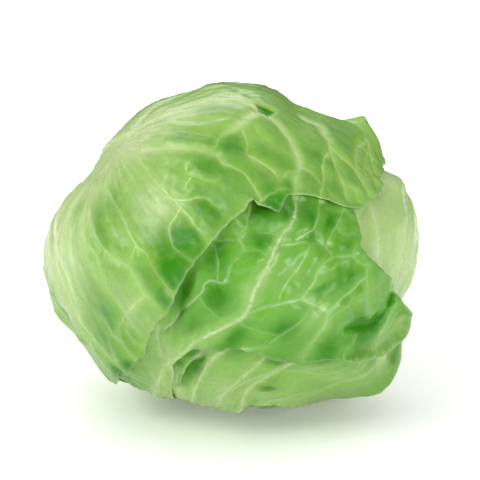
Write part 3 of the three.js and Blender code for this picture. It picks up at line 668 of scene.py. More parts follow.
def line_marks(leaf, places, rib_lines, vein_lines, net):
    """What the ribs, veins and net do to the skin at each place: the height of ridges and
    valleys, how pale the flesh and the thread are, the shade along folds, and then the distances
    from the nearest rib or vein and from the net. The fourth root of summed fourth powers joins
    ridges where they meet."""
    skin = leaf.on_map(places)
    ridge, crease, pale, thread, shaded = np.zeros((5, len(places)))
    from_lines = np.full(len(places), 99.0)
    for width, height, line in rib_lines:
        distance, along = rib_distance(places, line)
        taper = 1 - RIB_TAPER * along
        half = 0.5 * width * taper
        distance = distance * MM_PER_DEGREE
        ridge += (height * taper * (1 - smoothstep(0, 1, distance / half))) ** 4
        paleness = RIB_PALE - RIB_PALE_LOSS * along
        pale = np.maximum(pale, paleness * np.exp(-((distance / (half + RIB_PALE_REACH)) ** 2)))
        thread_half = RIB_THREAD * half + RIB_THREAD_LEAST
        thread = np.maximum(thread, np.exp(-((distance / thread_half) ** 2)))
        from_lines = np.minimum(from_lines, np.maximum(distance - 0.5 * half, 0))
    for kind in (BAND, THREAD, CREASE, HAIR, FOLD):
        rows = [line for chosen, line in vein_lines if chosen is kind]
        if not rows:
            continue
        width, height, valley, depth, spread, paleness, bright = kind
        distance, index = distance_to_rows(skin, leaf.on_map(np.vstack(rows)))
        along = np.concatenate([np.linspace(0, 1, len(line)) for line in rows])
        taper = 1 - VEIN_TAPER * along[index]
        ridge += (height * taper * (1 - smoothstep(0, 1, distance / (0.5 * width)))) ** 4
        crease = np.minimum(crease, -depth * taper * np.exp(-distance / valley))
        thread = np.maximum(thread, bright * taper * np.exp(-((distance / (0.4 * width)) ** 2)))
        pale = np.maximum(pale, paleness * taper * np.exp(-((distance / spread) ** 1.5)))
        from_lines = np.minimum(from_lines, distance)
        if kind is FOLD:
            shaded = np.exp(-((distance / FOLD_SHADE) ** 2))
    from_net, _ = distance_to_rows(skin, leaf.on_map(net))
    crease = np.minimum(crease, -NET_DEPTH * (1 - smoothstep(0, 0.5 * NET_WIDTH, from_net)))
    pale = np.maximum(pale, NET_PALE * np.exp(-((from_net / NET_WIDTH) ** 2)))
    return ridge**0.25 + crease, pale, thread, shaded, from_lines, from_net


def leaf_sheet(name, leaf, ribs, veins, seed, hub, pale_spots=(), deep_spots=(), base_pale=0.85):
    """The outer face of a leaf as an open sheet, with the relief and colour of each point on it.
    ribs: (width, height, route); veins: (kind, route); hub: where its streaks fan out from;
    spots: (east, north, long, broad, strength), long on the line from the hub. Some pale spots
    are a painted sheen and some deep spots are painted shade."""
    rib_lines = [(width, height, spline(route, ALONG_RIB)[0]) for width, height, route in ribs]
    vein_lines = []
    for kind, route in veins:
        line, share = spline(route, ALONG_VEIN)
        bend = np.sin(line[:, ::-1] * 1.1 + 2 * np.sin(line * 0.6))
        crooked = bend * np.sin(math.pi * share)[:, None]
        vein_lines.append((kind, line + VEIN_WANDER * crooked))
    net = fine_net([route for *_, route in ribs + veins], np.random.default_rng(seed))
    places, faces = mesh_places(leaf, rib_lines, vein_lines, net)
    ridge, pale, thread, shaded, from_lines, from_net = line_marks(
        leaf, places, rib_lines, vein_lines, net
    )

    # The relief, which comes down to the stem and under the leaves above
    skin = leaf.on_map(places)
    _, exposed, clear = leaf.cover(skin)
    stem_angle = np.arccos(np.clip(-skin[:, 2], -1, 1))
    ridge *= smoothstep(0, STEM_EASE, stem_angle - math.radians(STUMP_ANGLE + STEM_GAP_ANGLE))
    ridge = np.minimum(ridge, COVERED_RIB_HEIGHT) * (1 - exposed) + ridge * exposed
    dome = smoothstep(0, DOME_REACH, from_lines)
    net_dome = smoothstep(0, NET_DOME_REACH, from_net)
    pucker = DOME_HEIGHT * (dome - 1) + NET_DOME_HEIGHT * (net_dome - 1)
    loose = smoothstep(LOOSE_FROM, LOOSE_FULLY, clear)
    sink = COVERED_SINK * smoothstep(0, SINK_REACH, -clear)
    share = np.minimum(leaf.share_of_reach(places), 1)
    from_margin = (1 - share) * np.radians(leaf.margin_reach(bearing_of(places))) * SKIN_RADIUS
    thickening = (BLADE_THICKNESS - MARGIN_THICKNESS) * smoothstep(0, THICK_FROM_MARGIN, from_margin)

    # The colours: pale toward the stem, and deeper green on the puckers and toward the margin
    fade_start, fade_end = np.radians(PALE_ANGLES)
    pale = np.maximum(pale, base_pale * (1 - smoothstep(fade_start, fade_end, stem_angle)))
    pale = np.maximum(pale, LEAST_PALE)
    deep = (LEAST_DEEP + DEEP_DOMES * dome * smoothstep(*DEEP_SHARES, share)) * (1 - pale)
    # Some pale spots are a painted sheen where a lamp is reflected, and some deep spots are painted
    # shade in hollows, dents and along creases; the rest are the leaf's own paler or deeper green.
    for spot in spots_on(places, hub, pale_spots):
        pale = 1 - (1 - pale) * (1 - spot)
    for spot in spots_on(places, hub, deep_spots):
        spot = spot * (SPOT_AT_VEIN + (1 - SPOT_AT_VEIN) * smoothstep(*SPOT_EASE, from_lines))
        deep = 1 - (1 - deep) * (1 - spot)
        pale = pale * (1 - SPOT_OVER_PALE * spot)
    # Painted shade along the folds: the skin there is coloured deep green and not pale.
    deep = 1 - (1 - deep) * (1 - shaded)
    pale = pale * (1 - shaded)
    from_hub = places - hub
    angle, distance = np.arctan2(*from_hub.T), np.hypot(*from_hub.T)
    turns = 180 / (math.pi * STREAK_ANGLE)
    streaks = [turns * np.cos(angle), turns * np.sin(angle), distance / STREAK_LENGTH]

    sheet = mesh_piece(name + "_sheet", leaf.blade(places), faces)
    attributes = sheet.data.attributes
    for attribute, value in (
        ("relief", (ridge + pucker * loose - sink) * 0.001),
        ("thickness", (MARGIN_THICKNESS + thickening) * 0.001),
        ("free", loose),
        ("pale", np.clip(pale, 0, 1)),
        ("vein", np.clip(thread, 0, 1)),
        ("deep", np.clip(deep, 0, 1)),
        ("rim", 1 - smoothstep(*RIM, from_margin)),
    ):
        attributes.new(attribute, "FLOAT", "POINT").data.foreach_set("value", value)
    directions = attributes.new("streaks", "FLOAT_VECTOR", "POINT").data
    directions.foreach_set("vector", np.stack(streaks, axis=1).ravel())
    return sheet


# The flesh of a leaf: a tree that turns a sheet into a closed blade. It moves the outer face by the
# relief of each point, by wrinkles that run out from the hub, by soft swells and by creased bumps,
# and sets the inner face one thickness below it.
flesh_tree = bpy.data.node_groups.new("cabbage leaf flesh", "GeometryNodeTree")
flesh_inputs = {}
for label, kind, value in (
    ("Sheet", "NodeSocketGeometry", None),
    ("Wrinkle Height", "NodeSocketFloat", WRINKLE_HEIGHT),
    ("Swell Height", "NodeSocketFloat", 0.0018),
    ("Swell Size", "NodeSocketFloat", 0.022),
    ("Crumple Height", "NodeSocketFloat", 0.003),
    ("Crumple Size", "NodeSocketFloat", 0.022),
    ("Seed", "NodeSocketFloat", 0.0),
    ("Skin", "NodeSocketMaterial", None),
):
    socket = flesh_tree.interface.new_socket(label, in_out="INPUT", socket_type=kind)
    flesh_inputs[label] = socket.identifier
    if value is not None:
        socket.default_value = value
flesh_tree.interface.new_socket("Blade", in_out="OUTPUT", socket_type="NodeSocketGeometry")
given = add(flesh_tree, "NodeGroupInput").outputs
keep = add(flesh_tree, "GeometryNodeCaptureAttribute", domain="POINT")
for label, field in (("Place", "GeometryNodeInputPosition"), ("Outward", "GeometryNodeInputNormal")):
    keep.capture_items.new("VECTOR", label)
    flesh_tree.links.new(add(flesh_tree, field).outputs[0], keep.inputs[label])
flesh_tree.links.new(given["Sheet"], keep.inputs[0])
at, outward = keep.outputs["Place"], keep.outputs["Outward"]
carried = {}  # what the sheet carries at each point
for label, kind in (
    ("streaks", "FLOAT_VECTOR"), ("relief", "FLOAT"), ("thickness", "FLOAT"), ("free", "FLOAT"),
):
    named = add(flesh_tree, "GeometryNodeInputNamedAttribute", {"Name": label}, data_type=kind)
    carried[label] = named.outputs["Attribute"]
swells = add(flesh_tree, "ShaderNodeMath", {0: 1.0, 1: given["Swell Size"]}, operation="DIVIDE")
crumples = add(flesh_tree, "ShaderNodeMath", {0: 1.0, 1: given["Crumple Size"]}, operation="DIVIDE")
wrinkle, swell, crumple = (
    add(
        flesh_tree, "ShaderNodeTexNoise", {"Vector": along, "W": given["Seed"], "Scale": scale, **rest},
        noise_dimensions="4D",
    )
    for along, scale, rest in (
        (carried["streaks"], 1.0, {"Detail": 1.5, "Roughness": 0.4}),
        (at, swells, {"Detail": 1.5, "Distortion": 0.4}),
        (at, crumples, {"Detail": 1.0, "Distortion": 0.6}),
    )
)
# The bumps of the noise are folded up at its mean, which leaves a sharp crease between them.
centred = add(flesh_tree, "ShaderNodeMath", {0: crumple, 1: 0.5}, operation="SUBTRACT")
folded = add(flesh_tree, "ShaderNodeMath", {0: centred}, operation="ABSOLUTE")
# All of them mostly lower the skin, so that the head keeps its size.
relief = carried["relief"]
for shape, level, height in (
    (wrinkle, 0.8, "Wrinkle Height"), (swell, 0.8, "Swell Height"), (folded, 0.15, "Crumple Height"),
):
    lowered = add(flesh_tree, "ShaderNodeMath", {0: shape, 1: level}, operation="SUBTRACT")
    scaled = add(flesh_tree, "ShaderNodeMath", {0: lowered, 1: given[height]}, operation="MULTIPLY")
    relief = add(
        flesh_tree, "ShaderNodeMath", {0: scaled, 1: carried["free"], 2: relief},
        operation="MULTIPLY_ADD",
    )
depth = add(flesh_tree, "ShaderNodeMath", {0: relief, 1: carried["thickness"]}, operation="SUBTRACT")
inner_step = add(flesh_tree, "ShaderNodeVectorMath", {0: outward, "Scale": depth}, operation="SCALE")
inner = add(flesh_tree, "GeometryNodeSetPosition", {"Geometry": keep, "Offset": inner_step})
raised = add(
    flesh_tree, "GeometryNodeExtrudeMesh",
    {"Mesh": inner, "Individual": False, "Offset Scale": 0.0001}, mode="FACES",
)
outer_step = add(flesh_tree, "ShaderNodeVectorMath", {0: outward, "Scale": relief}, operation="SCALE")
outer = add(
    flesh_tree, "GeometryNodeSetPosition",
    {"Geometry": raised, "Selection": raised.outputs["Top"], "Position": at, "Offset": outer_step},
)
turned = add(flesh_tree, "GeometryNodeFlipFaces", {"Mesh": inner})
both = add(flesh_tree, "GeometryNodeJoinGeometry", {0: outer})
flesh_tree.links.new(turned.outputs[0], both.inputs[0])
closed = add(flesh_tree, "GeometryNodeMergeByDistance", {"Geometry": both, "Distance": 1e-7})
real = add(flesh_tree, "GeometryNodeRealizeInstances", {"Geometry": closed})
skinned = add(flesh_tree, "GeometryNodeSetMaterial", {"Geometry": real, "Material": given["Skin"]})
add(flesh_tree, "NodeGroupOutput", {"Blade": skinned})


def grow_leaf(
    name, leaf, node, slot, skin, seed, crumple, wrinkle=WRINKLE_HEIGHT, flesh_seed=None, **grown
):
    """A finished leaf: its sheet, grown as leaf_sheet is told, fleshed out to a closed blade that
    is a plain mesh. crumple and wrinkle: heights of these in the flesh, in metres."""
    sheet = leaf_sheet(name, leaf, seed=seed, **grown)
    modifier = sheet.modifiers.new("flesh", "NODES")
    modifier.node_group = flesh_tree
    for label, value in (
        ("Seed", float(flesh_seed or seed)), ("Crumple Height", crumple), ("Wrinkle Height", wrinkle),
        ("Skin", skin),
    ):
        modifier[flesh_inputs[label]] = value
    depsgraph = bpy.context.evaluated_depsgraph_get()
    mesh = bpy.data.meshes.new_from_object(sheet.evaluated_get(depsgraph))
    mesh.name = name
    for attribute in ("relief", "thickness", "free"):
        mesh.attributes.remove(mesh.attributes[attribute])
    bpy.data.objects.remove(sheet)
    blade = bpy.data.objects.new(name, mesh)
    bpy.context.scene.collection.objects.link(blade)
    finish_piece(blade, skin, node)


def leaf_skin(name, blade, deep, pale, vein):
    """Cabbage leaf skin: green flesh under a pale wax that is thinner where the skin is deep green,
    paler along its veins, with a light rim where the blade gets thin. It lets a little light
    through, which softens its shadows."""
    material, tree = new_material(name)
    place = add(tree, "ShaderNodeTexCoord").outputs["Object"]
    patches = add(
        tree, "ShaderNodeTexNoise", {"Vector": place, "Scale": 70, "Detail": 5, "Roughness": 0.6}
    )
    freckles = add(tree, "ShaderNodeTexNoise", {"Vector": place, "Scale": 420, "Detail": 2})
    fanned = add(tree, "ShaderNodeAttribute", attribute_name="streaks").outputs["Vector"]
    streaks = add(tree, "ShaderNodeTexNoise", {"Vector": fanned, "Scale": 1.6, "Detail": 4})
    middle = {"From Min": 0.3, "From Max": 0.7}  # where nearly all of a noise's values lie

    # Each colour lies over those before it, as far as its own amount, made uneven by a noise
    colour = linear(blade)
    for label, noise, least, most, over in (
        ("deep", patches, 0.6, 1.5, deep),
        ("pale", streaks, 0.6, 1.15, pale),
        ("vein", patches, 0.1, 0.65, vein),
        ("rim", patches, 0.1, 0.3, vein),
    ):
        amount = add(tree, "ShaderNodeAttribute", attribute_name=label).outputs["Fac"]
        uneven = add(
            tree, "ShaderNodeMapRange", {"Value": noise, **middle, "To Min": least, "To Max": most}
        )
        share = add(
            tree, "ShaderNodeMath", {0: amount, 1: uneven}, operation="MULTIPLY", use_clamp=True
        )
        colour = add(
            tree, "ShaderNodeMix", {"Factor": share, "A": colour, "B": linear(over)}, data_type="RGBA"
        ).outputs["Result"]
    shade = add(
        tree, "ShaderNodeMapRange", {"Value": freckles, **middle, "To Min": 0.95, "To Max": 1.04}
    )
    coloured = add(tree, "ShaderNodeVectorMath", {0: colour, "Scale": shade}, operation="SCALE")

    # Wrinkles about 2 mm across that fan out with the streaks, and veinlets about 3 mm apart
    wrinkles = add(
        tree, "ShaderNodeTexNoise", {"Vector": fanned, "Scale": 2.8, "Detail": 4, "Roughness": 0.6}
    )
    veinlets = add(
        tree, "ShaderNodeTexVoronoi", {"Vector": place, "Scale": 330}, feature="DISTANCE_TO_EDGE"
    )
    grooves = add(tree, "ShaderNodeMapRange", {"Value": veinlets, "From Max": 0.12, "To Max": 0.3})
    rumpled = add(tree, "ShaderNodeMath", {0: wrinkles, 1: grooves}, operation="ADD")
    bump = add(tree, "ShaderNodeBump", {"Height": rumpled, "Strength": 0.25, "Distance": 0.0002})
    roughness = add(
        tree, "ShaderNodeMapRange", {"Value": patches, **middle, "To Min": 0.25, "To Max": 0.37}
    )
    deepness = add(tree, "ShaderNodeAttribute", attribute_name="deep").outputs["Fac"]
    wax = add(tree, "ShaderNodeMapRange", {"Value": deepness, "To Min": 0.6, "To Max": 0.2})
    shader = add(
        tree, "ShaderNodeBsdfPrincipled",
        {
            "Base Color": coloured, "Roughness": roughness, "Normal": bump,
            "IOR": 1.42, "Specular IOR Level": wax, "Subsurface Weight": 0.2,
            "Subsurface Radius": (0.8, 1.0, 0.3), "Subsurface Scale": 0.0008,
        },
    )
    add(tree, "ShaderNodeOutputMaterial", {"Surface": shader})
    return material


back_low = Leaf(
    centre=(178, -35), waves=11, wave_height=3.0, start=7,
    margin=[
        (0, 46), (14, 51), (30, 48), (48, 54), (64, 52), (80, 57), (95, 52), (107, 51), (120, 45),
        (135, 42), (150, 41), (161, 46), (170, 52), (190, 52), (198, 44), (210, 40), (225, 43),
        (238, 45), (252, 51), (266, 53), (282, 58), (296, 53), (312, 55), (328, 49), (345, 50),
    ],
    lifts=[(30, 60, 0.86, 3.5), (300, 40, 0.86, 4.5)],
    rolls=[(348, 22, 0.86, 70)],
)
grow_leaf(
    "lower_back_leaf", back_low, node="leaf_back_low", slot="green_leaf", seed=8,
    skin=leaf_skin("cabbage leaf, weathered outer", "#6b9c3c", "#3f8010", "#a3b878", "#c2cf9c"),
    hub=(1, -38), crumple=0.003,
    ribs=[
        (14, 2.4, [(1, -40), (2, -28), (3, -12), (0, 6), (-3, 22), (-2, 36)]),
        (3.8, 1.6, [(2, -26), (16, -18), (32, -4), (40, 10)]),
        (3.6, 1.5, [(2, -4), (14, 6), (24, 20), (28, 34)]),
        (3.8, 1.6, [(3, -20), (-14, -12), (-28, 0), (-38, 12)]),
        (3.4, 1.4, [(-1, 10), (-14, 20), (-24, 32)]),
        (3.2, 1.3, [(2, -32), (26, -26), (44, -14)]),
        (3.2, 1.3, [(2, -32), (-24, -26), (-42, -14)]),
    ],
    veins=[
        (CREASE, [(24, -11), (28, 2), (38, 22)]),
        (CREASE, [(-20, -7), (-24, 6), (-36, 24)]),
        (HAIR, [(2, -14), (14, -4), (26, 4)]),
        (HAIR, [(-3, 2), (-14, 8), (-30, 14)]),
        (HAIR, [(19, 12), (10, 24), (12, 40)]),
        (HAIR, [(34, -20), (46, -6), (48, 6)]),
    ],
)

# ---- Top leaf -----------------------------------------------------------------------------------
# The broad leaf that comes up the back, folds over the whole top of the head and hangs down its
# front and left. Its midrib runs up the back and splits on top, and its veins fan out from there.
top = Leaf(
    centre=(-85, 38), waves=14, wave_height=1.8, start=6,
    margin=[
        (0, 98.5), (1.5, 104), (3, 108.3), (6, 111.3), (14, 110), (20, 109.5), (33, 109), (38, 107),
        (43, 106), (46, 103.5), (48, 99.5), (49.5, 95.5), (51, 91.5), (53, 88.5), (55, 85.5), (57, 83),
        (60, 83), (62, 83.4), (63.2, 82.6), (63.7, 80), (64, 77.2), (64.4, 75.2), (65.2, 74.6),
        (67, 74), (70, 74), (75, 72.6), (80, 71.8), (92, 71.6), (97, 71.8), (103, 73.5), (108, 75),
        (114, 74.8), (121, 76.5), (128, 79), (136, 80), (142.5, 81.6), (146, 79.4), (149, 81.5),
        (156, 83), (164, 82), (170, 86), (176, 96), (181, 118), (197, 118), (204, 106), (212, 98),
        (219, 93), (230, 86), (239, 84), (248, 77), (257, 75), (270, 66), (287, 63), (300, 60),
        (312, 62), (325, 60), (338, 65), (346, 70), (352, 80), (356, 90),
    ],
    lifts=[
        (0.5, 4, 0.93, 5), (60, 7, 0.9, 1.0), (101, 8, 0.93, 2.5), (152, 14, 0.9, 2.0),
        (262, 40, 0.9, 1.5),
    ],
    dents=[
        (6, 94, 14, 9, 10, 4.2), (0, 97, 2.6, 5, 0, 3.6), (11, -21, 10, 8, 142, 3.6),
        (-4, -2, 10, 8, 142, 1.6), (11, -56, 4, 5, 142, 2.0), (-2, 44, 7, 10, 0, 1.8),
        (6, 80, 5, 8, 0, 1.9), (73, 40, 5, 4.2, 348, -4.0), (65, 48, 3, 1.6, 50, -1.6),
        (29, 57.5, 2.6, 2, 30, -2.6), (36, -5, 9, 3.5, 95, -0.9), (37, -14, 9, 3, 110, -1.0),
        (24, -15, 7, 2.5, 122, -0.8), (16, -46, 4, 2.5, 60, 1.2), (21, -52, 6, 2, 60, -1.4),
        (26, -60, 3, 1.8, 90, 2.2), (46, 20, 3, 2, 60, -0.5), (47, 40, 4, 1.2, 50, -1.0),
        (55, -57, 3, 2, 40, -1.4), (45, -65, 3, 1.5, 60, -1.2),
    ],
)
grow_leaf(
    "broad_top_leaf", top, node="leaf_top", slot="top_leaf", seed=7, flesh_seed=12,
    skin=leaf_skin("cabbage leaf, broad top", "#7ba932", "#2c7600", "#bdcb99", "#c8d4a6"),
    hub=(8, 6), crumple=0.002,
    ribs=[
        (15, 3.6, [
            (-10, -112), (-20, -98), (-30, -78), (-33, -56), (-28, -35), (-18, -16), (-5, 1), (8, 12),
            (15, 24), (18, 40), (24, 53), (31, 57),
        ]),
        (3.6, 1.5, [(-31, -62), (-14, -62), (4, -68), (14, -78)]),
        (3.8, 1.6, [(-33, -52), (-52, -46), (-66, -32), (-74, -16)]),
        (3.6, 1.5, [(-26, -31), (-40, -16), (-50, 2), (-54, 20)]),
        (3.4, 1.4, [(-14, -11), (-24, 8), (-32, 28), (-34, 46)]),
        (3.2, 1.3, [(8, 14), (-4, 30), (-10, 48), (-8, 66)]),
    ],
    veins=[
        (BAND, [(20, 75), (24, 80), (32, 79), (38, 79), (42, 78)]),
        (THREAD, [(42, 78), (46, 81), (48, 84), (51, 86), (58, 85), (64, 84)]),
        (THREAD, [(42, 78), (46, 77), (53, 76), (59, 75), (64, 74), (70, 71)]),
        (THREAD, [(46, 77), (51, 72), (56, 69), (62, 66), (68, 61), (72, 57)]),
        (BAND, [(31, 55), (36, 60), (44, 62), (54, 60), (60, 56), (64, 52), (69, 48)]),
        (THREAD, [(60, 56), (58, 59), (60, 61), (62, 62), (65, 62)]),
        (CREASE, [(60, 55), (60, 52), (61, 50), (64, 46)]),
        (BAND, [(16, 48), (18, 50), (23, 51), (26, 54), (30, 56)]),
        (BAND, [(31, 55), (34, 50), (38, 46), (40, 42), (42, 36)]),
        (CREASE, [(38, 46), (42, 45), (47, 44), (50, 42), (54, 42)]),
        (THREAD, [(52, 42), (57, 46), (60, 47), (64, 46)]),
        (THREAD, [(11, 54), (15, 56), (20, 56)]),
        (BAND, [(2, 88), (3, 94), (5, 98), (7, 101), (10, 102)]),
        (THREAD, [(10, 102), (21, 102), (29, 102), (40, 100)]),
        (HAIR, [(7, 103), (10, 106), (18, 108)]),
        (THREAD, [(11, 102), (26, 96), (34, 93), (44, 89), (50, 87)]),
        (HAIR, [(14, 102), (26, 100), (38, 96), (50, 90), (59, 84)]),
        (HAIR, [(36, 98), (45, 95), (56, 92)]),
        (HAIR, [(62, 74), (63, 76), (65, 78), (69, 76)]),
        (HAIR, [(67, 64), (70, 64), (72, 66)]),
        (HAIR, [(40, 50), (44, 50), (46, 52)]),
        (BAND, [(10, 10), (24, 12), (31, 16), (39, 24), (42, 28), (48, 32)]),
        (THREAD, [(48, 32), (52, 32), (54, 34), (58, 36), (62, 36), (68, 35)]),
        (CREASE, [(46, 21), (48, 20), (50, 21), (52, 22), (56, 25)]),
        (HAIR, [(50, 21), (51, 18), (52, 16)]),
        (CREASE, [(8, 8), (26, 11), (40, 10), (52, 10), (56, 10), (66, 9), (70, 8)]),
        (CREASE, [(52, 10), (56, 14), (57, 17), (59, 19), (64, 20)]),
        (CREASE, [(56, 10), (57, 6), (58, 2), (62, -1), (64, -2), (70, -2)]),
        (CREASE, [(28, -4), (42, -6), (53, -10), (57, -10), (64, -14), (71, -16)]),
        (HAIR, [(53, -10), (54, -14), (54, -18)]),
        (CREASE, [(30, -13), (44, -18), (54, -18), (56, -19), (59, -21), (62, -24)]),
        (HAIR, [(62, -24), (64, -23), (69, -24)]),
        (CREASE, [(62, -24), (58, -32), (56, -35), (57, -36), (56, -42)]),
        (HAIR, [(57, -36), (59, -38), (64, -41)]),
        (HAIR, [(56, -42), (60, -45), (63, -44)]),
        (CREASE, [(20, -10), (30, -15), (37, -20), (42, -22), (46, -28), (51, -32), (56, -35)]),
        (HAIR, [(42, -22), (43, -20), (44, -18)]),
        (CREASE, [
            (0, -12), (10, -22), (20, -30), (26, -34), (30, -40), (32, -47), (30, -52), (36, -57),
            (47, -63),
        ]),
        (HAIR, [(44, -44), (47, -46), (50, -48), (52, -44)]),
        (CREASE, [(49, -48), (54, -48), (57, -50), (59, -52)]),
        (CREASE, [(26, 30), (30, 34), (33, 37), (34, 41)]),
        (THREAD, [(10, 12), (22, 15), (24, 20), (28, 24), (33, 29), (37, 32), (40, 35)]),
        (CREASE, [(42, 36), (44, 34), (45, 31)]),
        (CREASE, [(68.5, 34), (67.8, 38), (67.2, 42), (66.3, 46)]),
        (CREASE, [(-9, -4), (5, -16), (14, -24), (22, -34), (26, -40)]),
        (HAIR, [(56, -36), (53, -42), (51, -48)]),
        (CREASE, [(-28, -35), (-6, -36), (10, -46), (20, -62)]),
        (CREASE, [(-44, -10), (-62, 0), (-72, 12)]),
        (CREASE, [(-28, 18), (-44, 34), (-50, 46)]),
        (CREASE, [(-7, 40), (-22, 54), (-26, 70)]),
        (HAIR, [(-45, -48), (-50, -62), (-46, -78)]),
        (HAIR, [(-14, -62), (-8, -78), (2, -92)]),
        (FOLD, [(25.5, 57), (26.5, 57.5), (28, 59), (28.5, 60.5)]),
    ],
    # The pale spot at (48, 4) is a painted sheen where the key light is reflected; the others are paler
    # flesh.
    pale_spots=[
        (14, 12, 20, 14, 0.8), (48, 4, 9, 8, 0.45), (20, -22, 26, 14, 0.7), (18, 30, 14, 8, 0.55),
        (22, 48, 10, 8, 0.5), (2, -2, 26, 26, 0.5), (58, -30, 12, 10, 0.3), (26, -46, 16, 7, 0.4),
        (29, -24, 14, 9, 0.5), (53, 5, 7, 7, 0.2),
    ],
    # Deep spots: the leaf's deeper green, and painted shade in the hollow of the folded flap at the
    # notch, in the dimples beside it and in dents.
    deep_spots=[
        (29, 58, 2.5, 2, 0.8), (28, 42, 6, 3, 0.6), (35, 29, 8, 3.5, 0.7), (46, 38, 7, 5, 0.7),
        (50, 27, 7, 5, 0.8), (62, 17, 6, 5, 0.9), (65, 4, 6, 5, 0.95), (66, -9, 7, 7, 1),
        (64, -3, 9, 8, 0.7), (50, -42, 16, 12, 0.4), (59, -46, 8, 7, 0.3), (68, 2, 5, 6, 0.6),
        (68, -20, 6, 4, 0.7), (38, -14, 8, 3, 0.7), (36, -5, 8, 2.8, 0.6), (24, -15, 4, 2, 0.6),
        (55, -57, 3, 3, 1), (45, -65, 3, 3, 1), (18, -47, 4, 3, 0.6), (21, -53, 6, 2, 0.6),
        (65, 48, 3, 3, 0.8), (72, 39.5, 6, 6, 1), (70, 42, 6, 5, 1), (66, 64, 8, 7, 0.6),
        (56, 36, 6, 4, 0.6), (56, 52, 8, 4, 0.5), (52, 70, 9, 4, 0.5),
    ],
)

# ---- Front leaf ---------------------------------------------------------------------------------
# The deep green leaf across the front and right, under the top leaf. Its thick white midrib comes
# up from the stem at the left and branches, and its lower right margin is curled back outward.
front = Leaf(
    centre=(-18, 5), waves=11, wave_height=1.4, start=5,
    margin=[
        (0, 50), (15, 56), (30, 58), (45, 60), (58, 62), (65, 63.8), (72, 64), (76, 63.3), (79.5, 60.5),
        (82.5, 62), (85, 64), (88.5, 68), (91, 71.5), (93.5, 74.5), (96.5, 77), (99, 78.7), (101, 80.5),
        (103, 84.5), (105, 87), (108, 87.2), (110, 85.2), (111, 83.6), (112, 81.4), (113.2, 77.3),
        (114.4, 72.5), (116, 66.2), (117.4, 60), (119, 56), (123, 53), (128, 50.5), (130, 47),
        (132.5, 38.5), (134.5, 33.5), (139, 29), (148, 27.2), (159, 26.3), (169.5, 25), (177, 27),
        (184.5, 31), (187, 36.5), (188, 44), (189.5, 60), (191, 84), (204, 84), (208, 80), (213, 74),
        (219, 66), (228, 50), (240, 35), (262, 31), (285, 30), (305, 32), (325, 38), (342, 44),
    ],
    lifts=[(109, 18, 0.78, 1.0), (150, 34, 0.7, 1.2)],
    rolls=[(108, 14, 0.92, 60)],
    dents=[
        (70.5, -14.7, 5.5, 1.8, 39, -2.0), (61, -18, 7, 1.8, 97, -1.4), (70, -25, 9, 3.5, 60, 1.6),
        (2.5, -4.5, 10, 2.8, 28, -2.8), (-14, -49, 10, 14, 0, 2.2), (-6, -52, 8, 6, 0, 2.6),
        (-25, -50, 8, 7, 0, 2.6), (26, 25, 6, 5, 60, -2.4), (44, 14, 3, 2.2, 70, -1.2),
        (50, 20, 4, 1.8, 40, -1.3), (45, -3.5, 4.5, 1.2, 70, -0.9), (56, -22, 8, 4, 110, -1.0),
        (14, -5, 7, 6, 30, 0.8), (34, -15, 8, 5, 60, 0.8), (15, 8, 5, 4, 0, 0.6),
        (26, 12, 5, 4, 0, 0.7), (24, -2, 2, 2, 0, 0.5), (36, 5, 4, 3, 0, 0.6), (55, 0, 6, 4, 60, 0.6),
    ],
)
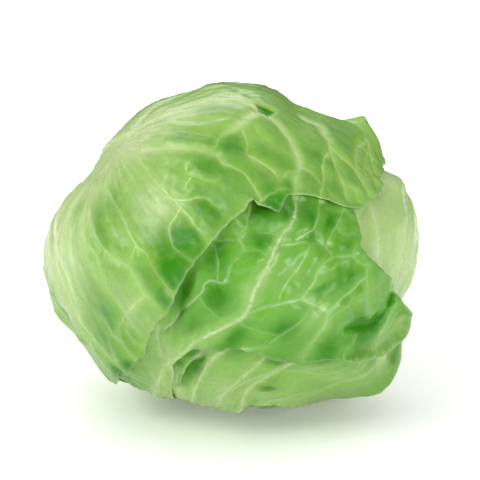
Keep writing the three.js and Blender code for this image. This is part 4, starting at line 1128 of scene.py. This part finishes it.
grow_leaf(
    "broad_front_leaf", front, node="leaf_front", slot="deep_green_leaf", seed=6,
    skin=leaf_skin("cabbage leaf, deep green front", "#5f9c28", "#2c7400", "#90ae64", "#c8d6b0"),
    hub=(-7, -62), crumple=0.009, wrinkle=0.0004,
    ribs=[
        (11, 2.6, [
            (-22, -74), (-18, -60), (-14, -49), (-9, -39), (-5, -32), (0, -27), (8, -20), (15, -15.5),
            (21, -11.5), (23.5, -8.5), (25, -3), (27, 2), (30, 8), (33, 15), (36, 19), (38, 26),
            (38, 36),
        ]),
        (2.6, 1.1, [(-9, -46), (-20, -42), (-30, -34)]),
    ],
    veins=[
        (THREAD, [(23, -10), (28, -8), (34, -6), (40, -5)]),
        (THREAD, [
            (40, -5), (43, 0), (44, 3), (46, 6), (49, 8), (48, 12), (51, 18), (55, 24), (57, 30),
        ]),
        (BAND, [(40, -5), (45, -8), (47, -10), (46, -15), (42, -22), (40, -29)]),
        (THREAD, [(47, -10), (50, -8), (55, -5), (59, -2), (62, 0)]),
        (THREAD, [
            (-3, -17), (0, -14), (2, -10), (5, -8), (9, -4), (11, 0), (16, 0), (18, 5), (22, 10),
        ]),
        (CREASE, [(22, 10), (26, 10), (30, 8)]),
        (THREAD, [(22, 10), (20, 14), (22, 18), (23, 24), (25, 32)]),
        (CREASE, [(6, 14), (12, 13), (18, 13), (20, 14)]),
        (HAIR, [(9, -6), (12, -10), (14, -12)]),
        (CREASE, [(31, 10), (34, 12), (42, 13), (48, 12)]),
        (CREASE, [(42, 12), (39, 6), (34, -1), (32, -6), (30, -8)]),
        (THREAD, [(38, 14), (42, 16), (44, 18), (46, 24), (48, 32)]),
        (HAIR, [(33, 15), (29, 16), (26, 16)]),
        (CREASE, [(30, -22), (33, -18), (38, -13), (42, -8), (43, -6)]),
        (THREAD, [(22, -22), (26, -23), (30, -23)]),
        (CREASE, [(49, 8), (53, 8), (56, 8), (58, 12)]),
        (HAIR, [(56, 8), (58, 6), (62, 4)]),
        (THREAD, [(66, -30), (68, -26), (72, -23), (76, -16), (76, -12)]),
        (HAIR, [(52, -27), (54, -25), (56, -24), (58, -21)]),
        (HAIR, [(62, 2), (62, -2), (63, -8), (64, -13)]),
        (HAIR, [(48, -12), (52, -10), (59, -8)]),
        (FOLD, [
            (76, -10), (74, -12.5), (71, -17), (69.5, -18.5), (68, -19.5), (64, -19), (60, -18),
            (54, -17.5),
        ]),
        (BAND, [(-5, -16), (-6, -22), (-7, -36), (-9, -48), (-11, -60)]),
        (CREASE, [(-12, -26), (-10, -30), (-10, -40), (-12, -54)]),
        (CREASE, [(-16, -32), (-13, -38), (-12, -46), (-14, -60)]),
        (CREASE, [(-26, -36), (-22, -46), (-18, -58)]),
        (HAIR, [(53, 20), (56, 23), (58, 22)]),
        (HAIR, [(52, 18), (54, 16), (59, 16)]),
        (HAIR, [(44, 3), (48, 4), (54, 6)]),
        (HAIR, [(14, 0), (14, 6), (12, 13)]),
        (HAIR, [(20, -13), (26, -16), (33, -18)]),
    ],
    pale_spots=[
        (-8, -46, 22, 12, 0.9), (-3, -24, 12, 6, 0.6), (6, -23, 7, 4, 0.6), (70, -27, 12, 4, 0.6),
        (80, -26, 8, 6, 0.5), (30, 5, 8, 3, 0.4), (24, -2, 4, 3, 0.6), (43, -12, 8, 3, 0.45),
        (37, 4, 3, 3, 0.4), (70, -2, 14, 4, 0.35),
    ],
    # Deep spots: the leaf's deeper green, and painted shade along the fold at the lower right and in
    # the hollow left of the top leaf's flap.
    deep_spots=[
        (14, -5, 6, 5, 0.9), (6, -15, 5, 4, 0.6), (34, -15, 6, 4, 0.8), (20, -18, 6, 3, 0.8),
        (49, -23, 6, 4, 0.8), (36, 23, 5, 4, 0.9), (43, 22, 4, 3, 0.9), (14, 8, 6, 5, 0.9),
        (26, 12, 5, 4, 0.9), (27, 25, 6, 5, 1), (74, -12.5, 3, 1.8, 0.6), (71.5, -16, 3, 1.8, 0.6),
        (69, -19, 3, 2.4, 0.6), (64, -20, 3, 3, 0.4), (60, -18.5, 3, 7, 0.9), (58, -22, 6, 4, 0.6),
        (45, -3.5, 4, 1.5, 0.7), (43, 15, 3, 2, 0.8), (50, 20, 4, 2.5, 0.9), (54, 12, 4, 4, 0.5),
        (54, 0, 5, 4, 0.5), (3, -4, 9, 3, 1), (68, -20, 5, 3, 0.5),
    ],
    base_pale=0.5,
)

# ---- Lower front leaf ---------------------------------------------------------------------------
# The paler leaf that wraps the bottom of the front from left to right. Its veins run together at
# the stem, below on the left, and its right end stands away from the head.
front_low = Leaf(
    centre=(8, -32), waves=8, wave_height=1.4, start=4,
    margin=[
        (0, 28), (20, 32), (50, 42), (75, 52), (88, 58), (96, 62), (102, 63), (106, 60), (111, 58),
        (116, 51), (126, 43.5), (132, 40), (138, 31), (146, 21.5), (155, 17.5), (168, 15.5), (180, 16),
        (186, 22), (189, 36), (192, 52), (206, 56), (210, 54), (216, 50), (226, 46), (236, 41),
        (260, 28), (290, 27), (330, 26),
    ],
    lifts=[(109, 18, 0.7, 8.5), (140, 14, 0.72, 1.8)],
    dents=[
        (-14, -32, 14, 9, 20, 2.6), (-21, -16, 12, 9, 10, 2.8), (-23, -14, 11, 5, 341, 2.0),
        (2, -20, 6, 12, 0, 2.0), (-20, 6.5, 4, 2.5, 60, -2.0), (-19.5, -3, 5, 2, 10, -2.4),
        (-21.5, 0, 4, 1.2, 20, 0.8), (6, -7, 3.2, 1.1, 95, -1.4), (47, -8, 6, 1.6, 20, -1.0),
        (52, -14, 3, 1.5, 0, -1.5), (18, -4, 9, 4, 75, 0.6), (34, -4, 8, 4, 80, -0.6),
        (-8, 4, 6, 4, 50, 0.8), (-14, -14, 7, 3, 20, 0.8),
    ],
)
grow_leaf(
    "lower_front_leaf", front_low, node="leaf_front_low", slot="green_leaf", seed=5,
    skin=leaf_skin("cabbage leaf, lower front", "#7ba642", "#3f7d14", "#9fb87a", "#ccd9b0"),
    hub=(-13, -42), crumple=0.005,
    ribs=[
        (3.4, 1.4, [(-13, -42), (-12, -28), (-10, -18), (-8, -9), (-2, 0), (3, 7), (8, 13), (13, 18)]),
        (3.2, 1.3, [(-10, -40), (-4, -26), (-2, -18), (-1, -8), (4, -2), (9, 2), (14, 5), (22, 10)]),
        (4, 2.0, [(-19, -38), (-22, -24), (-23, -12), (-22, -4), (-20, 3), (-17, 8), (-14, 14)]),
        (4.4, 2.0, [(-16, -40), (-18, -26), (-18, -13), (-16, 0), (-13, 7), (-9, 12), (-4, 18)]),
    ],
    veins=[
        (FOLD, [(-23, -9), (-22, -5), (-20, -2), (-18.5, 2.5), (-16.5, 5.5)]),
        (THREAD, [(-6, -8), (-2, -4), (6, 1), (12, 5), (20, 7)]),
        (THREAD, [(0, -22), (6, -15), (14, -14), (24, -13), (30, -8), (40, -10), (46, -11), (52, -12)]),
        (HAIR, [(18, -1), (22, -2), (30, -1)]),
        (BAND, [(46, -12), (51, -12), (54, -10), (56, -4)]),
        (HAIR, [(34, 1), (37, -1), (36, -3)]),
        (HAIR, [(9, 2), (16, 0), (28, 3), (40, 3)]),
        (HAIR, [(4, -10), (14, -8), (26, -5), (38, -5)]),
    ],
    pale_spots=[
        (-15, -30, 16, 12, 0.8), (-25, -5, 5, 1.8, 0.9), (-22.5, -12, 6, 3, 0.9),
        (-10, -12, 12, 5, 0.6), (6, -12, 5, 16, 0.4), (20, 2, 4, 12, 0.3), (51, -12, 3, 6, 0.6),
    ],
    # Deep spots: the leaf's deeper green, and painted shade along the fold at the left end and in two
    # small hollows.
    deep_spots=[
        (-24, 2.5, 2.5, 2, 0.9), (-21, 6.5, 2.5, 2.5, 1), (-18, 8, 2, 3, 0.8), (-22, -7, 2.5, 1.4, 0.9),
        (-21, -4, 2.5, 1.6, 1), (-19.5, -1, 2.5, 1.8, 1), (-17.5, 3, 3, 2, 0.9), (6, -7, 1.5, 3.5, 1),
        (-5, 12, 4, 5, 0.7), (7, 6, 2, 5, 0.9), (24, 5, 5, 12, 0.6), (12, 10, 4, 9, 0.6),
        (45, -4, 5, 5, 0.8), (8, -2, 6, 3, 0.4), (52, -15, 3, 2, 1), (54, -12, 2, 2, 0.8),
    ],
    base_pale=0.8,
)

# ---- Small bottom leaf --------------------------------------------------------------------------
# A short dark leaf tucked under the head at the right of the stem, with one corner curled up.
bottom_small = Leaf(
    centre=(35, -50), waves=5, wave_height=1.0, start=3,
    margin=[
        (0, 23), (30, 24), (60, 21), (80, 18), (98, 16), (110, 12), (122, 14), (140, 12), (155, 20),
        (168, 34), (200, 34), (212, 30), (226, 22), (240, 20), (258, 20), (285, 21), (320, 22),
    ],
    lifts=[(124, 22, 0.55, 2.0)],
    dents=[(-1, -8, 9, 7, 90, 2.6)],
)
grow_leaf(
    "short_bottom_leaf", bottom_small, node="leaf_bottom_small", slot="deep_green_leaf", seed=4,
    skin=leaf_skin("cabbage leaf, short bottom", "#5c9030", "#3a7a10", "#86aa5c", "#a9c080"),
    hub=(-1, -24), crumple=0.003,
    ribs=[(3.4, 1.4, [(-1, -24), (-1, -13), (0, 0), (2, 14)])],
    veins=[(HAIR, [(-1, -14), (7, -6), (11, 4)]), (HAIR, [(-1, -10), (-9, -2), (-12, 6)])],
    base_pale=0.45,
)

# ---- Back leaf ----------------------------------------------------------------------------------
# The broad leaf up the back and right side of the head, under the top leaf and above the lower
# back leaf, with a straight midrib and paired side veins.
back = Leaf(
    centre=(155, 5), waves=12, wave_height=2.0, start=2,
    margin=[
        (0, 72), (18, 67), (35, 62), (60, 56), (90, 53), (110, 55), (130, 60), (150, 68), (162, 80),
        (170, 92), (190, 92), (198, 78), (208, 68), (222, 60), (240, 54), (252, 52), (264, 47),
        (276, 49), (288, 46), (302, 53), (320, 62), (340, 70),
    ],
    lifts=[(268, 26, 0.84, 2.5), (305, 14, 0.88, 2.0)],
)
grow_leaf(
    "broad_back_leaf", back, node="leaf_back", slot="green_leaf", seed=3,
    skin=leaf_skin("cabbage leaf, broad back", "#76a146", "#4a8a1c", "#9fb576", "#b9c994"),
    hub=(1, -78), crumple=0.003,
    ribs=[
        (8, 3.4, [(0, -79), (4, -58), (5, -36), (2, -14), (-2, 8), (-4, 28), (-2, 44)]),
        (3, 1.3, [(4, -44), (-14, -34), (-30, -18), (-38, 0)]),
        (2.8, 1.2, [(3, -22), (-12, -8), (-26, 8), (-34, 26)]),
        (2.6, 1.1, [(0, 0), (-12, 16), (-22, 34)]),
        (3, 1.3, [(5, -34), (20, -24), (34, -10), (42, 8)]),
        (2.8, 1.2, [(1, -8), (14, 4), (28, 16), (34, 32)]),
        (2.6, 1.1, [(-3, 18), (8, 30), (16, 44)]),
    ],
    veins=[
        (CREASE, [(4, -28), (-10, -20), (-22, -6), (-32, 10)]),
        (CREASE, [(3, -18), (18, -8), (30, 2), (40, 18)]),
        (HAIR, [(-26, 8), (-38, 14), (-46, 12)]),
        (HAIR, [(-12, 16), (-26, 24), (-32, 40)]),
        (HAIR, [(14, 4), (12, 20), (20, 34)]),
        (HAIR, [(-30, -18), (-42, -16), (-48, -4)]),
        (HAIR, [(-4, 28), (-14, 40), (-12, 54)]),
    ],
)

# ---- Lower left leaf ----------------------------------------------------------------------------
# A pale leaf low on the left, mostly under the hanging margin of the top leaf.
left_low = Leaf(
    centre=(-88, -35), waves=8, wave_height=1.0, start=1,
    margin=[
        (0, 30), (45, 36), (75, 42), (92, 44), (110, 42), (130, 38), (148, 36), (158, 44), (170, 50),
        (190, 50), (200, 42), (215, 37), (240, 38), (270, 42), (300, 38), (330, 32),
    ],
)
grow_leaf(
    "lower_left_leaf", left_low, node="leaf_left_low", slot="green_leaf", seed=2,
    skin=leaf_skin("cabbage leaf, lower left", "#86aa56", "#689636", "#a9bb80", "#c2cf9e"),
    hub=(4, -38), crumple=0.003,
    ribs=[
        (6, 2.4, [(4, -38), (3, -25), (0, -8), (-2, 10), (0, 24)]),
        (2.6, 1.0, [(3, -24), (14, -20), (26, -10), (34, 2)]),
        (2.6, 1.0, [(2, -22), (-12, -18), (-24, -8), (-32, 4)]),
    ],
    veins=[(HAIR, [(0, -8), (12, 0), (20, 12)]), (HAIR, [(0, -4), (-12, 6), (-18, 16)])],
)

# ---- Inner right leaf ---------------------------------------------------------------------------
# The smooth pale leaf that shows on the right: it was closed in until the outer ones opened, so it
# stayed yellowish and tight against the heart, with faint upright veins.
right_inner = Leaf(
    centre=(85, 10), waves=9, wave_height=1.0, start=0,
    margin=[
        (0, 64), (24, 62), (45, 57), (59, 55), (97, 58), (132, 62), (150, 70), (159, 78), (167, 92),
        (180, 95), (190, 92), (196, 76), (205, 66), (219, 56), (240, 50), (260, 48), (283, 48),
        (302, 48), (320, 50), (337, 57),
    ],
    dents=[(-3.5, 15, 4.5, 9, 0, 5.2), (-6, -17, 9, 8, 0, 3.2)],
)
grow_leaf(
    "pale_inner_leaf", right_inner, node="leaf_right_inner", slot="pale_leaf", seed=1,
    skin=leaf_skin("cabbage leaf, pale inner", "#9cb773", "#82a650", "#abbb89", "#bcc89b"),
    hub=(0, -80), crumple=0.001,
    ribs=[
        (5, 2.2, [(1, -84), (-4, -62), (-12, -38), (-17, -17), (-15, -4), (-8, 6), (2, 18), (6, 36)]),
        (2.4, 0.9, [(-14, -34), (-27, -22), (-31, -6), (-28, 9), (-22, 20)]),
        (2.4, 0.9, [(-6, -55), (12, -36), (24, -12), (28, 14)]),
        (2.2, 0.8, [(-17, -16), (2, -2), (18, 14), (24, 32)]),
    ],
    veins=[
        (HAIR, [(1, 17), (-21, 17), (-27, 10)]),
        (HAIR, [(3, 13), (-9, 4), (-16, -5)]),
        (HAIR, [(-28, 15), (-33, 12), (-38, 7)]),
    ],
    base_pale=0.9,
)

# ---- Heart --------------------------------------------------------------------------------------
# The young leaves packed tight round the core, one solid ball to the touch. They never saw the
# light, so they are yellowish white, and their folded edges show as low steps.
HEART_CLEARANCE = 3.4
HEART_FOLD = 0.8
HEART_SIDES = 160
HEART_ROWS = 110
SOCKET_ROWS = 7
SOCKET_RADIUS = 36.9  # from the head's centre to the hollow that the stem's top sits in
BOTTOM_RING, TOP_RING = 1.5, 178.9  # degrees from straight down
cone = STUMP_ANGLE + STEM_GAP_ANGLE
polar = np.radians(
    np.append(np.linspace(BOTTOM_RING, cone, SOCKET_ROWS), np.linspace(cone, TOP_RING, HEART_ROWS))
)
rings = len(polar)
around = np.arange(HEART_SIDES) * 2 * math.pi / HEART_SIDES
polar, around = np.meshgrid(polar, around, indexing="ij")
sideways = np.sin(polar)
direction = np.stack([sideways * np.sin(around), -sideways * np.cos(around), -np.cos(polar)], axis=-1)
direction = np.vstack([direction.reshape(-1, 3), [(0, 0, -1), (0, 0, 1)]])
in_socket = np.arange(len(direction)) < SOCKET_ROWS * HEART_SIDES
in_socket[-2] = True
depth = LAYER_STEP * sum(1 - smoothstep(0, COVER_FADE, leaf.beyond(direction)) for leaf in outer_leaves)
longitude = np.arctan2(direction[:, 0], -direction[:, 1])
fold = HEART_FOLD * np.sin(2 * longitude + 3 * direction[:, 2])
radius = head_radius(direction) - depth - HEART_CLEARANCE + fold
radius = np.where(in_socket, SOCKET_RADIUS, radius)
points = direction * radius[:, None] + [0, 0, CENTRE_HEIGHT]
heart = mesh_piece("packed_heart", points, ring_faces(rings, HEART_SIDES))

# Blanched cabbage leaf: yellowish white and smooth, with soft clouds of a greener tint.
blanched, tree = new_material("blanched cabbage leaf")
place = add(tree, "ShaderNodeTexCoord").outputs["Object"]
clouds = add(tree, "ShaderNodeTexNoise", {"Vector": place, "Scale": 60, "Detail": 3})
tinted = add(
    tree, "ShaderNodeMix", {"Factor": clouds, "A": linear("#d3dfa6"), "B": linear("#ecf1cf")},
    data_type="RGBA",
).outputs["Result"]
shader = add(tree, "ShaderNodeBsdfPrincipled", {"Base Color": tinted, "Roughness": 0.5, "IOR": 1.42})
add(tree, "ShaderNodeOutputMaterial", {"Surface": shader})
finish_piece(heart, blanched, "heart")

# ---- Table and light ----------------------------------------------------------------------------
# A wide white table top in a bright room with a pale ceiling. One softbox stands high in front on
# the left, one low in front on the right, and one high behind, which lights the top of the head.
TABLE_HALF = 9000
corners = [(-1, -1), (1, -1), (1, 1), (-1, 1)]
floor = mesh_piece("floor", [(TABLE_HALF * x, TABLE_HALF * y, 0) for x, y in corners], [(0, 1, 2, 3)])
table, tree = new_material("white matt table top")
# The table glows with painted light, weaker round the foot of the head and stronger farther out, so it
# gets brighter away from the head.
place = add(tree, "ShaderNodeTexCoord").outputs["Object"]
away = add(tree, "ShaderNodeVectorMath", {0: place}, operation="LENGTH").outputs["Value"]
painted_glow = add(
    tree, "ShaderNodeMapRange",
    {"Value": away, "From Min": 0.1, "From Max": 0.4, "To Min": 0.15, "To Max": 0.5},
    interpolation_type="SMOOTHSTEP",
)
# Round the foot of the head its colour is a painted green tint, for the light that comes through and
# off the leaves.
clear = add(tree, "ShaderNodeMapRange", {"Value": away, "From Min": 0.05, "From Max": 0.09})
tinted = add(
    tree, "ShaderNodeMix", {"Factor": clear, "A": linear("#eaf1e3"), "B": linear("#fafbf9")},
    data_type="RGBA",
).outputs["Result"]
shader = add(
    tree, "ShaderNodeBsdfPrincipled",
    {
        "Base Color": tinted, "Roughness": 0.9,
        "Emission Color": linear("#ffffff"), "Emission Strength": painted_glow,
    },
)
add(tree, "ShaderNodeOutputMaterial", {"Surface": shader})
floor.data.materials.append(table)

for name, place, aim, size, watts in (
    ("key_light", (-1.12, -0.76, 0.92), (0, 0, 0.08), (0.6, 0.9), 13),
    ("front_light", (0.7, -1.05, 0.45), (0, 0, 0.08), (0.62, 0.5), 8),
    ("top_light", (-0.15, 1.00, 1.15), (0, 0, 0.12), (0.9, 0.8), 4.2),
):
    lamp = bpy.data.lights.new(name, "AREA")
    lamp.shape, lamp.size, lamp.size_y, lamp.energy = "RECTANGLE", *size, watts
    stand = bpy.data.objects.new(name, lamp)
    stand.location = place
    stand.rotation_euler = (Vector(aim) - Vector(place)).to_track_quat("-Z", "Y").to_euler()
    bpy.context.scene.collection.objects.link(stand)
room = bpy.data.worlds.new("bright room")
room.use_nodes = True
tree = room.node_tree
tree.nodes.clear()
towards = add(tree, "ShaderNodeTexCoord").outputs["Generated"]
upward = add(tree, "ShaderNodeSeparateXYZ", {"Vector": towards}).outputs["Z"]
ceiling = add(
    tree, "ShaderNodeMapRange",
    {"Value": upward, "From Min": 0.1, "From Max": 0.9, "To Min": 0.09, "To Max": 0.95},
    interpolation_type="SMOOTHSTEP",
)
background = add(tree, "ShaderNodeBackground", {"Strength": ceiling, "Color": linear("#ffffff")})
add(tree, "ShaderNodeOutputWorld", {"Surface": background})
bpy.context.scene.world = room
bpy.context.scene.view_settings.view_transform = "Standard"
